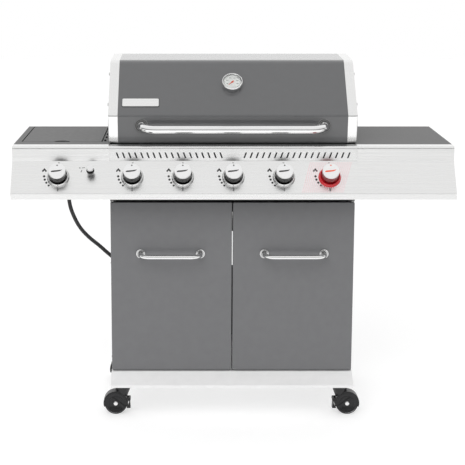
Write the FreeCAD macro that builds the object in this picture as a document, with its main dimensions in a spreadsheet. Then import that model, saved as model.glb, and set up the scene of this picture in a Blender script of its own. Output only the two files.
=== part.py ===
import FreeCAD, Part
import math
import os

import Sketcher
from FreeCAD import Placement, Rotation, Vector

# Gas barbecue grill on a two-door cart.  Millimetres, +Z up, the front faces -Y.
# The origin is on the floor under the middle of the grill.

doc = FreeCAD.newDocument("GasGrill")
dim = doc.addObject("Spreadsheet::Sheet", "dim")

DIMENSIONS = {
    # folded sheet and clearances
    "skin": 1.2, "bend": 3, "running_gap": 0.05,
    # side shelves, front band and sloping control panel
    "shelf_half": 725.5, "shelf_top": 933, "shelf_back": 283.73, "band_front": -194,
    "band_foot": 884, "panel_front": -262, "panel_foot": 787.5, "lip_foot": 768,
    "edge_round": 9, "seam": 407, "seam_gap": 0.5, "panel_back": -150,
    "slot_count": 18, "slot_pitch": 20, "slot_wide": 5, "slot_tall": 19, "slot_lean": 7,
    "slot_first": 36, "slot_mid": 903,
    # cart
    "cart_half": 408.5, "cart_front": -139, "cart_back": 266, "floor_top": 155,
    "skirt_front": -224, "skirt_neck": -169, "skirt_edge": 124, "skirt_foot": 115,
    "flange": 20, "back_panel_top": 421, "brace_foot": 584, "brace_top": 636,
    "cup_notch_half": 75, "cup_notch_foot": 597, "header_foot": 744, "header_deep": 30,
    "grommet_y": -23.9, "grommet_z": 519.3, "grommet_hole": 14, "grommet_rim": 19,
    # doors
    "door_front": -164, "door_deep": 20, "door_gap": 1.5, "door_half": 407,
    "door_foot": 158, "door_top": 740, "door_round": 3, "door_corner": 5,
    "door_pin_in": 8, "door_pin_back": 12,
    "door_pin_radius": 3, "door_handle_x": 207, "door_handle_z": 565,
    "door_handle_span": 100, "door_handle_reach": 54, "door_handle_tube": 7.5,
    "door_handle_bend": 32, "door_rosette": 15,
    # lid
    "lid_half": 413, "lid_foot": 936, "lid_front": -134, "lid_bend_y": -146,
    "lid_bend_z": 1029, "lid_crown_y": 20, "lid_crown_z": 1196, "lid_top": 1203,
    "lid_back": 274, "lid_cap_wide": 32, "lid_cap_skin": 2, "lid_cap_round": 4, "bend_round": 12,
    "crown_round": 40, "back_round": 50, "cam": 36, "hinge_y": 238, "hinge_z": 972,
    "hinge_pin": 5, "handle_span": 302, "handle_z": 988, "handle_reach": 60,
    "handle_tube": 13.25, "handle_bend": 48, "rosette": 23, "rosette_thick": 6,
    "gauge_up": 0.55, "gauge_stem": 3.5, "gauge_radius": 35, "gauge_deep": 20, "dial_radius": 31,
    "badge_up": 0.22, "badge_x": -306, "badge_wide": 121, "badge_tall": 32, "badge_thick": 3,
    # firebox and what it holds
    "box_half": 395, "box_front": -124, "box_back": 204, "box_foot": 700, "box_top": 950,
    "box_wall": 1.5, "drain_half": 330, "drain_front": -60, "drain_back": 140,
    "burner_z": 850, "burner_radius": 12.5, "sear_x": 314.5, "sear_wide": 130,
    "grate_z": 920, "grate_thick": 10, "grate_count": 4, "bar_pitch": 15,
    "plate_z": 884, "plate_half": 52, "plate_rise": 26, "rack_z": 1085, "rack_half": 372,
    "rack_front": 90, "rack_back": 190, "wire": 3,
    "tray_foot": 642, "tray_top": 676, "tray_half": 380, "tray_front": -110,
    "tray_back": 260, "cup_radius": 55, "cup_foot": 600,
    # gas train and controls, measured along the normal of the sloping panel
    "manifold_back": 75, "manifold_radius": 9, "manifold_left": -600, "manifold_right": 345,
    "valve_radius": 11, "valve_near": 20, "stem_radius": 4, "stem_hole": 10,
    "bezel_radius": 36.9, "bezel_high": 7, "knob_radius": 28.5, "cap_radius": 27.4,
    "knob_base": 8, "cap_base": 44.5, "knob_high": 50, "side_knob_x": -572, "knob_pitch": 165,
    "igniter_x": -466, "igniter_up": 14, "button_radius": 11, "button_shank": 7,
    "button_under": 36, "button_high": 44, "collar_radius": 13, "collar_foot": 9.5, "collar_high": 25,
    # side burner
    "hatch_left": -703, "hatch_right": -439, "hatch_front": -89, "hatch_back": 268,
    "hatch_deep": 8, "hatch_side_gap": 4, "hatch_rear_gap": 5, "hatch_pin_y": 262,
    "hatch_pin_z": 928.8, "hatch_pin": 2.5, "notch_radius": 29, "notch_out": 7,
    "well_foot": 862, "well_wall": 1.5, "ring_radius": 45, "pan_grate_z": 905, "pan_bar": 6,
    # casters
    "caster_x": 372, "caster_front": -142, "caster_back": 225, "trail": 24,
    "wheel_radius": 38, "wheel_wide": 26, "axle_radius": 4, "hood_radius": 42,
    "hood_inner": 39.5, "hood_wide": 36, "hood_slot": 29, "hood_foot": 26,
    "neck_radius": 15, "neck_flare": 33, "neck_foot": 60, "neck_top": 110, "plate_wide": 61, "plate_deep": 50,
    "brake_in": 46.5, "brake_pin": 2,
    # hose
    "hose_radius": 6.5, "hose_nut": 9,
}


def fill_sheet():
    for row, (name, size) in enumerate(DIMENSIONS.items(), 1):
        dim.set(f"A{row}", name)
        dim.set(f"B{row}", str(size))
        dim.setAlias(f"B{row}", name)
    doc.recompute()


fill_sheet()


def size(expression):
    """The value of an expression of the sheet's names, such as 'shelf_top - skin'."""
    return float(dim.evalExpression(str(expression)))


def bound(expression):
    """The same expression as another object writes it, with the sheet's name in front."""
    words = []
    word = ""
    for letter in str(expression) + " ":
        if letter.isalnum() or letter in "_.":
            word += letter
            continue
        words.append(f"dim.{word}" if word in DIMENSIONS else word)
        words.append(letter)
        word = ""
    return "".join(words).strip()


def bind(thing, prop, expression):
    thing.setExpression(prop, bound(expression))


def put(thing, x, y, z, rotation=Rotation()):
    """Turn a piece and bind where its own origin goes."""
    thing.Placement = Placement(Vector(size(x), size(y), size(z)), rotation)
    for axis, where in (("x", x), ("y", y), ("z", z)):
        bind(thing, f"Placement.Base.{axis}", where)


ALONG = {"X": Rotation(Vector(0, 1, 0), 90), "Y": Rotation(Vector(1, 0, 0), -90), "Z": Rotation()}


def box(name, low, high):
    """A block between two corners, each given as three expressions."""
    block = doc.addObject("Part::Box", name)
    for prop, near, far in zip(("Length", "Width", "Height"), low, high):
        bind(block, prop, f"({far}) - ({near})")
    put(block, *low)
    return block


def cylinder(name, radius, height, at, along="Z"):
    rod = doc.addObject("Part::Cylinder", name)
    bind(rod, "Radius", radius)
    bind(rod, "Height", height)
    put(rod, *at, ALONG[along])
    return rod


def fuse(name, *pieces):
    joined = doc.addObject("Part::MultiFuse", name)
    joined.Shapes = list(pieces)
    joined.Refine = True
    return joined


def cut(name, base, *tools):
    """Take the tools away from the base, one after the other."""
    for number, tool in enumerate(tools, 1):
        part = doc.addObject("Part::Cut", name if number == len(tools) else f"{name}_{number}")
        part.Base = base
        part.Tool = tool
        part.Refine = True
        base = part
    return base


def together(name, pieces):
    """Several separate solids that share one node."""
    group = doc.addObject("Part::Compound", name)
    group.Links = list(pieces)
    return group


def on_frame(thing, frame, x, up, out):
    """Lie a piece made along +Z on a slanted face: x across, up the slope, out of it."""
    thing.Placement = frame.multiply(Placement(Vector(size(x), size(up), size(out)), Rotation()))
    return thing


def square_to(frame, name, radius, x, up, low, high):
    """A round piece square to a slanted face, from low to high along its normal."""
    rod = doc.addObject("Part::Cylinder", name)
    bind(rod, "Radius", radius)
    bind(rod, "Height", f"({high}) - ({low})")
    return on_frame(rod, frame, x, up, low)


def slanted(y_low, z_low, y_high, z_high, share):
    """The frame of a face that rises to the back: its x is +X, its y climbs, its z is out."""
    low = Vector(0, size(y_low), size(z_low))
    high = Vector(0, size(y_high), size(z_high))
    climb = (high - low).normalize()
    across = Vector(1, 0, 0)
    turn = Rotation(across, climb, across.cross(climb), "ZXY")
    return Placement(low + (high - low) * share, turn)


PANEL = slanted("panel_front", "panel_foot", "band_front", "band_foot", 0.5)
GAUGE = slanted("lid_bend_y", "lid_bend_z", "lid_crown_y", "lid_crown_z", size("gauge_up"))
BADGE = slanted("lid_bend_y", "lid_bend_z", "lid_crown_y", "lid_crown_z", size("badge_up"))


def origin_plane(body, role):
    return next(plane for plane in body.Origin.OriginFeatures if plane.Role == role)


def outline(body, role, corners, offset=0, name="Outline"):
    """A closed outline whose every corner is tied to the sheet."""
    sketch = body.newObject("Sketcher::SketchObject", name)
    sketch.AttachmentSupport = [(origin_plane(body, role), "")]
    sketch.MapMode = "FlatFace"
    sketch.AttachmentOffset = Placement(Vector(0, 0, size(offset)), Rotation())
    points = [Vector(size(u), size(v), 0) for u, v in corners]
    for start, end in zip(points, points[1:] + points[:1]):
        sketch.addGeometry(Part.LineSegment(start, end), False)
    for side in range(len(points)):
        after = (side + 1) % len(points)
        sketch.addConstraint(Sketcher.Constraint("Coincident", side, 2, after, 1))
    for side, corner in enumerate(corners):
        for kind, where in zip(("DistanceX", "DistanceY"), corner):
            tie = sketch.addConstraint(Sketcher.Constraint(kind, -1, 1, side, 1, size(where)))
            bind(sketch, f"Constraints[{tie}]", where)
    return sketch


def prism(name, role, corners, length, start=0):
    """A body padded from its outline along the plane's normal."""
    body = doc.addObject("PartDesign::Body", name)
    sketch = outline(body, role, corners, start)
    pad = body.newObject("PartDesign::Pad", "Pad")
    pad.Profile = sketch
    bind(pad, "Length", length)
    doc.recompute()
    return body


def spun(name, corners):
    """A body turned about its own Z from a half outline of radius and height."""
    body = doc.addObject("PartDesign::Body", name)
    sketch = outline(body, "XZ_Plane", corners)
    turn = body.newObject("PartDesign::Revolution", "Turn")
    turn.Profile = sketch
    turn.ReferenceAxis = (origin_plane(body, "Z_Axis"), [""])
    turn.Angle = 360
    doc.recompute()
    return body


def round_bends(body, bends):
    """Round the long edges that run along X through the given (y, z) corners."""
    for y, z, radius in bends:
        solid = body.Tip
        names = []
        for number, edge in enumerate(solid.Shape.Edges, 1):
            middle = edge.CenterOfMass
            near = math.hypot(middle.y - size(y), middle.z - size(z)) < 0.5
            if near and edge.BoundBox.XLength > 1 and edge.BoundBox.YLength < 0.5:
                names.append(f"Edge{number}")
        fillet = body.newObject("PartDesign::Fillet", "Bend")
        fillet.Base = (solid, names)
        bind(fillet, "Radius", radius)
        doc.recompute()


def round_corners(body, radius):
    """Round the edges that run along Y."""
    solid = body.Tip
    names = [f"Edge{number}" for number, edge in enumerate(solid.Shape.Edges, 1)
             if edge.BoundBox.YLength > 1 and max(edge.BoundBox.XLength, edge.BoundBox.ZLength) < 0.01]
    fillet = body.newObject("PartDesign::Fillet", "Corner")
    fillet.Base = (solid, names)
    bind(fillet, "Radius", radius)
    doc.recompute()


def round_end(body, end, radius):
    """Round all the edges of the flat face at one end in X."""
    solid = body.Tip
    names = [f"Edge{number}" for number, edge in enumerate(solid.Shape.Edges, 1)
             if abs(edge.BoundBox.XMin - size(end)) < 0.01 and edge.BoundBox.XLength < 0.01]
    fillet = body.newObject("PartDesign::Fillet", "Rim")
    fillet.Base = (solid, names)
    bind(fillet, "Radius", radius)
    doc.recompute()


def round_face(body, front, radius):
    """Round all the edges of the flat face that looks to -Y."""
    solid = body.Tip
    names = [f"Edge{number}" for number, edge in enumerate(solid.Shape.Edges, 1)
             if abs(edge.BoundBox.YMin - size(front)) < 0.01 and edge.BoundBox.YLength < 0.01]
    fillet = body.newObject("PartDesign::Fillet", "Round")
    fillet.Base = (solid, names)
    bind(fillet, "Radius", radius)
    doc.recompute()


def hollow(body, wall, openings):
    """Leave a wall inside the outline and open the flat faces on the given planes."""
    solid = body.Tip
    names = []
    for number, face in enumerate(solid.Shape.Faces, 1):
        limits = face.BoundBox
        if any(max(abs(getattr(limits, low) - size(at)), abs(getattr(limits, high) - size(at))) < 0.01
               for low, high, at in openings):
            names.append(f"Face{number}")
    shell = body.newObject("PartDesign::Thickness", "Wall")
    shell.Base = (solid, names)
    shell.Reversed = True
    bind(shell, "Value", wall)
    doc.recompute()


def at_x(where):
    return ("XMin", "XMax", where)


def at_y(where):
    return ("YMin", "YMax", where)


def at_z(where):
    return ("ZMin", "ZMax", where)


def cut_row(body, corners, front, deep, step, count):
    """A row of equal holes through a face that looks to -Y."""
    sketch = outline(body, "XZ_Plane", corners, f"0 - ({front})", "Hole")
    pocket = body.newObject("PartDesign::Pocket", "Pocket")
    pocket.Profile = sketch
    bind(pocket, "Length", deep)
    doc.recompute()
    row = body.newObject("PartDesign::LinearPattern", "Row")
    row.Originals = [pocket]
    row.Direction = (sketch, ["H_Axis"])
    row.Reversed = size(step) < 0
    bind(row, "Length", f"abs({step}) * ({count} - 1)")
    bind(row, "Occurrences", count)
    body.Tip = row
    doc.recompute()


def drill(name, base, frame, spots, radius, deep):
    """Round holes square to a slanted face, at (x, up) spots."""
    bits = []
    for number, (x, up) in enumerate(spots, 1):
        bits.append(square_to(frame, f"{name}_bit_{number}", radius, x, up, f"0 - {deep}", deep))
    return cut(name, base, fuse(f"{name}_bits", *bits) if len(bits) > 1 else bits[0])


KNOBS = {"knob_side": "side_knob_x", "knob_1": "0 - 2 * knob_pitch", "knob_2": "0 - knob_pitch",
         "knob_3": "0", "knob_4": "knob_pitch", "knob_sear": "sear_x"}


# ---------------------------------------------------------------- cart

def base_tray():
    """The cart's floor, folded down into a flared skirt, on two box rails for the casters."""
    pan = prism("base_pan", "YZ_Plane",
                [("skirt_neck", "floor_top"), ("skirt_front", "skirt_edge"),
                 ("skirt_front", "skirt_foot"), ("cart_back", "skirt_foot"),
                 ("cart_back", "floor_top")], "2 * cart_half")
    hollow(pan, "skin", [at_z("skirt_foot")])
    put(pan, "0 - cart_half", 0, 0)
    rails = []
    for end, y in (("front", "caster_front"), ("back", "caster_back")):
        low = ("0 - cart_half + 6", f"{y} - 26", "skirt_foot + 3")
        high = ("cart_half - 6", f"{y} + 26", "floor_top - skin")
        outer = box(f"rail_{end}_outer", low, high)
        inner = box(f"rail_{end}_inner", ("0 - cart_half", f"{y} - 24.5", "skirt_foot + 4.5"),
                    ("cart_half", f"{y} + 24.5", "floor_top - skin - 1.5"))
        rails.append(cut(f"rail_{end}", outer, inner))
    return together("base_tray", [pan] + rails)


def side_panel(name, side):
    """A full-height panel with its front and back edges folded inwards."""
    sign = "" if side > 0 else "0 - "
    wall, inner, fold = (f"{sign}({x})" for x in ("cart_half", "cart_half - skin", "cart_half - flange"))
    panel = prism(f"{name}_sheet", "XY_Plane",
                  [(fold, "cart_front"), (wall, "cart_front"), (wall, "cart_back"), (fold, "cart_back"),
                   (fold, "cart_back - skin"), (inner, "cart_back - skin"),
                   (inner, "cart_front + skin"), (fold, "cart_front + skin")],
                  "band_foot - floor_top", "floor_top")
    if side > 0:
        return panel
    hole = cylinder(f"{name}_hole", "grommet_hole + 2", "3 * flange",
                    ("0 - cart_half - flange", "grommet_y", "grommet_z"), "X")
    return cut(name, panel, hole)


def hose_grommet():
    """A rubber ring in the left panel's hole, with a lip on each side."""
    half = "(2 + skin / 2)"
    ring = spun("hose_grommet", [
        ("grommet_hole", f"0 - {half}"), ("grommet_rim", f"0 - {half}"),
        ("grommet_rim", "0 - skin / 2"), ("grommet_hole + 2", "0 - skin / 2"),
        ("grommet_hole + 2", "skin / 2"), ("grommet_rim", "skin / 2"),
        ("grommet_rim", half), ("grommet_hole", half)])
    put(ring, "0 - cart_half + skin / 2", "grommet_y", "grommet_z", ALONG["X"])
    return ring


def back_panel():
    """A low back panel, and a brace near the top that lets the grease cup pass."""
    lower = box("back_lower", ("0 - cart_half + skin", "cart_back - 2 * skin", "floor_top"),
                ("cart_half - skin", "cart_back - skin", "back_panel_top"))
    brace = box("back_brace", ("0 - cart_half + skin", "cart_back - 3 * skin", "brace_foot"),
                ("cart_half - skin", "cart_back - skin", "brace_top"))
    notch = box("back_notch", ("0 - cup_notch_half", "cart_back - flange", "cup_notch_foot"),
                ("cup_notch_half", "cart_back", "brace_top + 1"))
    return together("back_panel", [lower, cut("rear_brace", brace, notch)])


def front_header():
    """The dark rail over the doors, notched round the side panels' folds, and two magnets."""
    half, front = "(cart_half - skin)", "door_front + door_pin_back - 4"
    back = f"{front} + header_deep"
    rail = box("header_rail", (f"0 - {half}", front, "header_foot"), (half, back, "lip_foot - 1"))
    inner = box("header_inner", (f"0 - {half} - 1", f"{front} + 2", "header_foot + 2"),
                (f"{half} + 1", f"{back} + 1", "lip_foot - 3"))
    notches = [box(f"header_notch_{end}", (low, "cart_front", "header_foot - 1"),
                   (high, f"{back} + 1", "lip_foot"))
               for end, low, high in (("left", "0 - cart_half", "0 - (cart_half - flange)"),
                                      ("right", "cart_half - flange", "cart_half"))]
    magnets = [box(f"magnet_{number}", (x, "door_front + door_deep + 1", "header_foot - 14"),
                   (f"{x} + 24", back, "header_foot"))
               for number, x in enumerate(("-30", "6"), 1)]
    return together("front_header", [cut("header_channel", rail, inner, *notches)] + magnets)


def door_hinge_pins():
    """Four upright pins: two on the cart's floor and two under the header."""
    pins = []
    for side, sign in (("left", "0 - "), ("right", "")):
        x = f"{sign}(door_half - door_pin_in)"
        y = "door_front + door_pin_back"
        pins.append(cylinder(f"pin_low_{side}", "door_pin_radius", "12", (x, y, "floor_top")))
        pins.append(cylinder(f"pin_high_{side}", "door_pin_radius", "12", (x, y, "header_foot - 12")))
    return together("door_hinge_pins", pins)


def door(name, side):
    """A folded steel pan, open at the back, with a pin hole in its top and bottom folds."""
    low, high = ("0 - door_half", "0 - door_gap") if side < 0 else ("door_gap", "door_half")
    pan = prism(f"{name}_pan", "XY_Plane",
                [(low, "door_front"), (high, "door_front"),
                 (high, "door_front + door_deep"), (low, "door_front + door_deep")],
                "door_top - door_foot")
    round_corners(pan, "door_corner")
    round_face(pan, "door_front", "door_round")
    hollow(pan, "skin", [at_y("door_front + door_deep")])
    put(pan, 0, 0, "door_foot")
    x = f"{'0 - ' if side < 0 else ''}(door_half - door_pin_in)"
    hole = cylinder(f"{name}_pin_hole", "door_pin_radius + running_gap",
                    "door_top - door_foot + 20", (x, "door_front + door_pin_back", "door_foot - 10"))
    return cut(name, pan, hole)


def bow_handle(name, middle, face, height, span, reach, bend, tube, disc, thick):
    """A bent tube: a bar across the front, two quarter bends and two short legs to discs."""
    pieces = [cylinder(f"{name}_bar", tube, f"2 * ({span} - {bend})",
                       (f"{middle} - ({span} - {bend})", f"{face} - ({reach})", height), "X")]
    for end, sign, turn in (("left", "-", 180), ("right", "+", 270)):
        elbow = doc.addObject("Part::Torus", f"{name}_elbow_{end}")
        bind(elbow, "Radius1", bend)
        bind(elbow, "Radius2", tube)
        elbow.Angle3 = 90
        put(elbow, f"{middle} {sign} ({span} - {bend})", f"{face} - ({reach}) + {bend}", height,
            Rotation(Vector(0, 0, 1), turn))
        leg = cylinder(f"{name}_leg_{end}", tube, f"{reach} - {bend}",
                       (f"{middle} {sign} {span}", f"{face} - ({reach}) + {bend}", height), "Y")
        pieces += [elbow, leg]
    tube_solid = fuse(f"{name}_tube", *pieces)
    discs = []
    for end, sign in (("left", "-"), ("right", "+")):
        at = (f"{middle} {sign} {span}", f"{face} - {thick}", height)
        blank = cylinder(f"{name}_disc_{end}", disc, thick, at, "Y")
        bore = cylinder(f"{name}_bore_{end}", tube, thick, at, "Y")
        discs.append(cut(f"{name}_rosette_{end}", blank, bore))
    return together(name, [tube_solid] + discs)


def door_handle(name, side):
    middle = "door_handle_x" if side > 0 else "(0 - door_handle_x)"
    return bow_handle(name, middle, "door_front", "door_handle_z", "door_handle_span",
                      "door_handle_reach", "door_handle_bend", "door_handle_tube",
                      "door_rosette", 4)


# ---------------------------------------------------------------- shelves and control panel

def control_panel():
    """One folded sheet: rounded top edge, slotted band, sloping face and bottom lip."""
    half = "seam - seam_gap"
    panel = prism("panel_sheet", "YZ_Plane",
                  [("panel_back", "shelf_top"), ("band_front", "shelf_top"),
                   ("band_front", "band_foot"), ("panel_front", "panel_foot"),
                   ("panel_front", "lip_foot"), ("panel_back", "lip_foot")],
                  f"2 * ({half})", f"0 - ({half})")
    round_bends(panel, [("band_front", "shelf_top", "edge_round"),
                        ("band_front", "band_foot", "bend"), ("panel_front", "panel_foot", "bend")])
    hollow(panel, "skin", [at_y("panel_back"), at_z("lip_foot"), at_x(half), at_x(f"0 - ({half})")])
    for sign in ("0 - ", ""):
        foot = f"{sign}slot_first"
        lean = f"{sign}slot_lean"
        corners = [(f"{foot} - slot_wide / 2", "slot_mid - slot_tall / 2"),
                   (f"{foot} + slot_wide / 2", "slot_mid - slot_tall / 2"),
                   (f"{foot} + ({lean}) + slot_wide / 2", "slot_mid + slot_tall / 2"),
                   (f"{foot} + ({lean}) - slot_wide / 2", "slot_mid + slot_tall / 2")]
        cut_row(panel, corners, "band_front - 2", "6", f"{sign}slot_pitch", "slot_count")
    spots = [(KNOBS[name], 0) for name in KNOBS if name != "knob_side"]
    return drill("control_panel", panel, PANEL, spots, "stem_hole", 8)


def shelf_front(name, side):
    """The sloping face under a side shelf, closed at its outer end."""
    low, high = "seam + seam_gap", "shelf_half"
    start = low if side > 0 else f"0 - ({high})"
    front = prism(f"{name}_sheet", "YZ_Plane",
                  [("band_front", "band_foot"), ("panel_front", "panel_foot"),
                   ("panel_front", "lip_foot"), ("panel_back - 10", "lip_foot"),
                   ("panel_back - 10", "band_foot")], f"({high}) - ({low})", start)
    inner_end = low if side > 0 else f"0 - ({low})"
    round_bends(front, [("panel_front", "panel_foot", "bend")])
    hollow(front, "skin", [at_y("panel_back - 10"), at_z("lip_foot"), at_x(inner_end)])
    if side > 0:
        return front
    stem = drill(f"{name}_stem", front, PANEL, [("side_knob_x", 0)], "stem_hole", 8)
    return drill(name, stem, PANEL, [("igniter_x", "igniter_up")], "button_shank + 1", 8)


def shelf_pan(name, side):
    """A side shelf: a folded pan with a rounded front edge, open underneath."""
    low, high = "seam + seam_gap", "shelf_half"
    start = low if side > 0 else f"0 - ({high})"
    pan = prism(name, "YZ_Plane",
                [("shelf_back", "shelf_top"), ("band_front", "shelf_top"),
                 ("band_front", "band_foot"), ("shelf_back", "band_foot")],
                f"({high}) - ({low})", start)
    round_bends(pan, [("band_front", "shelf_top", "edge_round")])
    hollow(pan, "skin", [at_z("band_foot")])
    return pan


def shelf_left():
    """The left shelf, with the side burner's opening and a row of small holes."""
    pan = shelf_pan("shelf_left_pan", -1)
    hatch = box("hatch_opening",
                ("hatch_left - hatch_side_gap", "hatch_front - hatch_side_gap", "shelf_top - 10"),
                ("hatch_right + hatch_side_gap", "hatch_back + hatch_rear_gap", "shelf_top + 10"))
    holes = [cylinder(f"shelf_hole_{number + 1}", 3.5, 20,
                      ("hatch_right + 14", f"hatch_front + 12 + {number} * 75", "shelf_top - 10"))
             for number in range(5)]
    return cut("shelf_left", pan, hatch, fuse("shelf_holes", *holes))


# ---------------------------------------------------------------- firebox

def firebox():
    """An open-topped steel box with a drain opening and two ears for the lid's hinge."""
    walls = prism("box_walls", "XY_Plane",
                  [("0 - box_half", "box_front"), ("box_half", "box_front"),
                   ("box_half", "box_back"), ("0 - box_half", "box_back")],
                  "box_top - box_foot", "box_foot")
    hollow(walls, "box_wall", [at_z("box_top")])
    drain = box("box_drain", ("0 - drain_half", "drain_front", "box_foot - 5"),
                ("drain_half", "drain_back", "box_foot + 5"))
    pieces = [cut("box_open", walls, drain)]
    for side, start in (("left", "0 - box_half"), ("right", "box_half - box_wall")):
        pieces.append(prism(f"box_ear_{side}", "YZ_Plane",
                            [("box_back - 30", "box_top - 60"), ("box_back", "box_top - 60"),
                             ("hinge_y + 12", "hinge_z - 12"), ("hinge_y + 12", "hinge_z + 12"),
                             ("hinge_y - 12", "hinge_z + 12"), ("box_back - 30", "box_top")],
                            "box_wall", start))
        hanger = ("0 - cart_half + skin", "0 - box_half") if side == "left" else (
            "box_half", "cart_half - skin")
        pieces.append(box(f"box_hanger_{side}", (hanger[0], "box_front + 10", "band_foot - 20"),
                          (hanger[1], "box_back - 10", "band_foot - 17")))
    body = fuse("box_joined", *pieces)
    bores = cylinder("box_bores", "hinge_pin", "2 * cart_half",
                     ("0 - cart_half", "hinge_y", "hinge_z"), "X")
    ports = [cylinder(f"box_port_{number}", "burner_radius", 20,
                      (x, "box_front - 10", "burner_z"), "Y")
             for number, x in enumerate(list(KNOBS.values())[1:], 1)]
    return cut("firebox", body, bores, fuse("box_ports", *ports))


def burners():
    """Four tube burners front to back, and a wide sear burner on its own feed tube."""
    tubes = []
    for number in range(1, 5):
        x = KNOBS[f"knob_{number}"]
        solid = cylinder(f"burner_solid_{number}", "burner_radius", "box_back - box_front + 18",
                         (x, "box_front - 20", "burner_z"), "Y")
        bore = cylinder(f"burner_bore_{number}", "burner_radius - 1", "box_back - box_front + 10",
                        (x, "box_front - 25", "burner_z"), "Y")
        tubes.append(cut(f"burner_{number}", solid, bore))
    feed = cylinder("sear_feed", "burner_radius", "50", ("sear_x", "box_front - 20", "burner_z"), "Y")
    head = box("sear_head", ("sear_x - sear_wide / 2", "box_front + 24", "burner_z - 15"),
               ("sear_x + sear_wide / 2", "box_back - 24", "burner_z + 20"))
    space = box("sear_space", ("sear_x - sear_wide / 2 + 1.5", "box_front + 25.5", "burner_z - 20"),
                ("sear_x + sear_wide / 2 - 1.5", "box_back - 25.5", "burner_z + 8"))
    return together("burners", tubes + [cut("sear_burner", fuse("sear_blank", feed, head), space)])


def heat_plates():
    """A bent plate over each tube burner, standing on the tube's top."""
    plates = []
    for number in range(1, 5):
        x = KNOBS[f"knob_{number}"]
        tent = prism(f"heat_plate_{number}", "XZ_Plane",
                     [(f"{x} - plate_half", "plate_z"), (x, "plate_z + plate_rise"),
                      (f"{x} + plate_half", "plate_z"), (f"{x} + plate_half - 4", "plate_z"),
                      (x, "plate_z + plate_rise - 2"), (f"{x} - plate_half + 4", "plate_z")],
                     "box_back - box_front - 2 * box_wall - 2", "0 - (box_back - box_wall - 1)")
        rests = [box(f"plate_rest_{number}_{end}",
                     (f"{x} - 12", y, "burner_z + burner_radius - 1"),
                     (f"{x} + 12", f"{y} + 2", "plate_z + plate_rise - 5"))
                 for end, y in (("front", "box_front + 30"), ("back", "box_back - 32"))]
        plates.append(fuse(f"heat_plate_set_{number}", tent, *rests))
    bores = [cylinder(f"plate_bore_{number}", "burner_radius", "box_back - box_front + 20",
                      (KNOBS[f"knob_{number}"], "box_front - 20", "burner_z"), "Y")
             for number in range(1, 5)]
    return cut("heat_plates", together("heat_plate_row", plates), together("plate_bores", bores))


def cooking_grates():
    """Four cast grates side by side, each a plate with a row of long openings."""
    wide = "((2 * box_half - 2 * box_wall - 4) / grate_count)"
    low, high = "box_front + box_wall + 1", "box_back - box_wall - 1"
    grates = []
    for number in range(int(size("grate_count"))):
        left = f"0 - box_half + box_wall + 2 + {number} * {wide}"
        plate = prism(f"grate_{number + 1}", "XY_Plane",
                      [(f"{left} + 1", low), (f"{left} + {wide} - 1", low),
                       (f"{left} + {wide} - 1", high), (f"{left} + 1", high)],
                      "grate_thick", "grate_z")
        sketch = outline(plate, "XY_Plane",
                         [(f"{left} + 8", f"{low} + 10"), (f"{left} + 17", f"{low} + 10"),
                          (f"{left} + 17", f"{high} - 10"), (f"{left} + 8", f"{high} - 10")],
                         "grate_z + grate_thick", "Gap")
        gap = plate.newObject("PartDesign::Pocket", "Gap")
        gap.Profile = sketch
        bind(gap, "Length", "grate_thick")
        doc.recompute()
        row = plate.newObject("PartDesign::LinearPattern", "Bars")
        row.Originals = [gap]
        row.Direction = (sketch, ["H_Axis"])
        bind(row, "Length", "11 * bar_pitch")
        row.Occurrences = 12
        plate.Tip = row
        doc.recompute()
        grates.append(plate)
    ledges = [box(f"grate_ledge_{end}", ("0 - box_half + box_wall", y, "grate_z - 3"),
                  ("box_half - box_wall", f"{y} + 12", "grate_z"))
              for end, y in (("front", "box_front + box_wall"), ("back", "box_back - box_wall - 12"))]
    return together("cooking_grates", grates), together("grate_ledges", ledges)


def warming_rack():
    """A wire rack: long rods laid on cross rods, with four legs that stand on the grates."""
    under = "rack_z - wire"
    rods = [cylinder(f"rack_long_{number + 1}", "wire - 0.5", "2 * rack_half + 12",
                     ("0 - rack_half - 6",
                      f"rack_front + {number} * (rack_back - rack_front) / 5", "rack_z"), "X")
            for number in range(6)]
    rods += [cylinder(f"rack_cross_{number + 1}", "wire", "rack_back - rack_front + 16",
                      (f"0 - rack_half + {number} * rack_half / 3", "rack_front - 8", under), "Y")
             for number in range(7)]
    for side, x in (("left", "0 - rack_half"), ("right", "rack_half")):
        for end, y in (("front", "rack_front - 4"), ("back", "rack_back + 4")):
            rods.append(cylinder(f"rack_leg_{side}_{end}", "wire - 0.8",
                                 f"{under} - grate_z - grate_thick", (x, y, "grate_z + grate_thick")))
    return fuse("warming_rack", *rods)


def grease_tray():
    """A shallow tray that slides out at the back, with a drip hole in its middle."""
    pan = prism("tray_pan", "XY_Plane",
                [("0 - tray_half", "tray_front"), ("tray_half", "tray_front"),
                 ("tray_half", "tray_back"), ("0 - tray_half", "tray_back")],
                "tray_top - tray_foot", "tray_foot")
    hollow(pan, "skin", [at_z("tray_top")])
    drip = cylinder("tray_drip", 12, 10, (0, "(tray_front + tray_back) / 2", "tray_foot - 5"))
    return cut("grease_tray", pan, drip)


def tray_runners():
    """Two angle runners on the side panels that the grease tray slides on."""
    runners = []
    for side, low, high in (("left", "0 - cart_half + skin", "0 - tray_half + 14"),
                            ("right", "tray_half - 14", "cart_half - skin")):
        runners.append(box(f"runner_{side}", (low, "tray_front", "tray_foot - 2.3"),
                           (high, "cart_back - 4 * skin", "tray_foot - 0.3")))
    return runners


def grease_cup():
    """A cup hung under the tray's drip hole by a rim."""
    cup = spun("grease_cup", [
        ("0", "cup_foot"), ("cup_radius - 8", "cup_foot"), ("cup_radius", "tray_foot"),
        ("cup_radius - 1.2", "tray_foot"), ("cup_radius - 9.2", "cup_foot + 1.2"),
        ("0", "cup_foot + 1.2")])
    put(cup, 0, "(tray_front + tray_back) / 2", 0)
    return cup


# ---------------------------------------------------------------- gas train and controls

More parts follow.
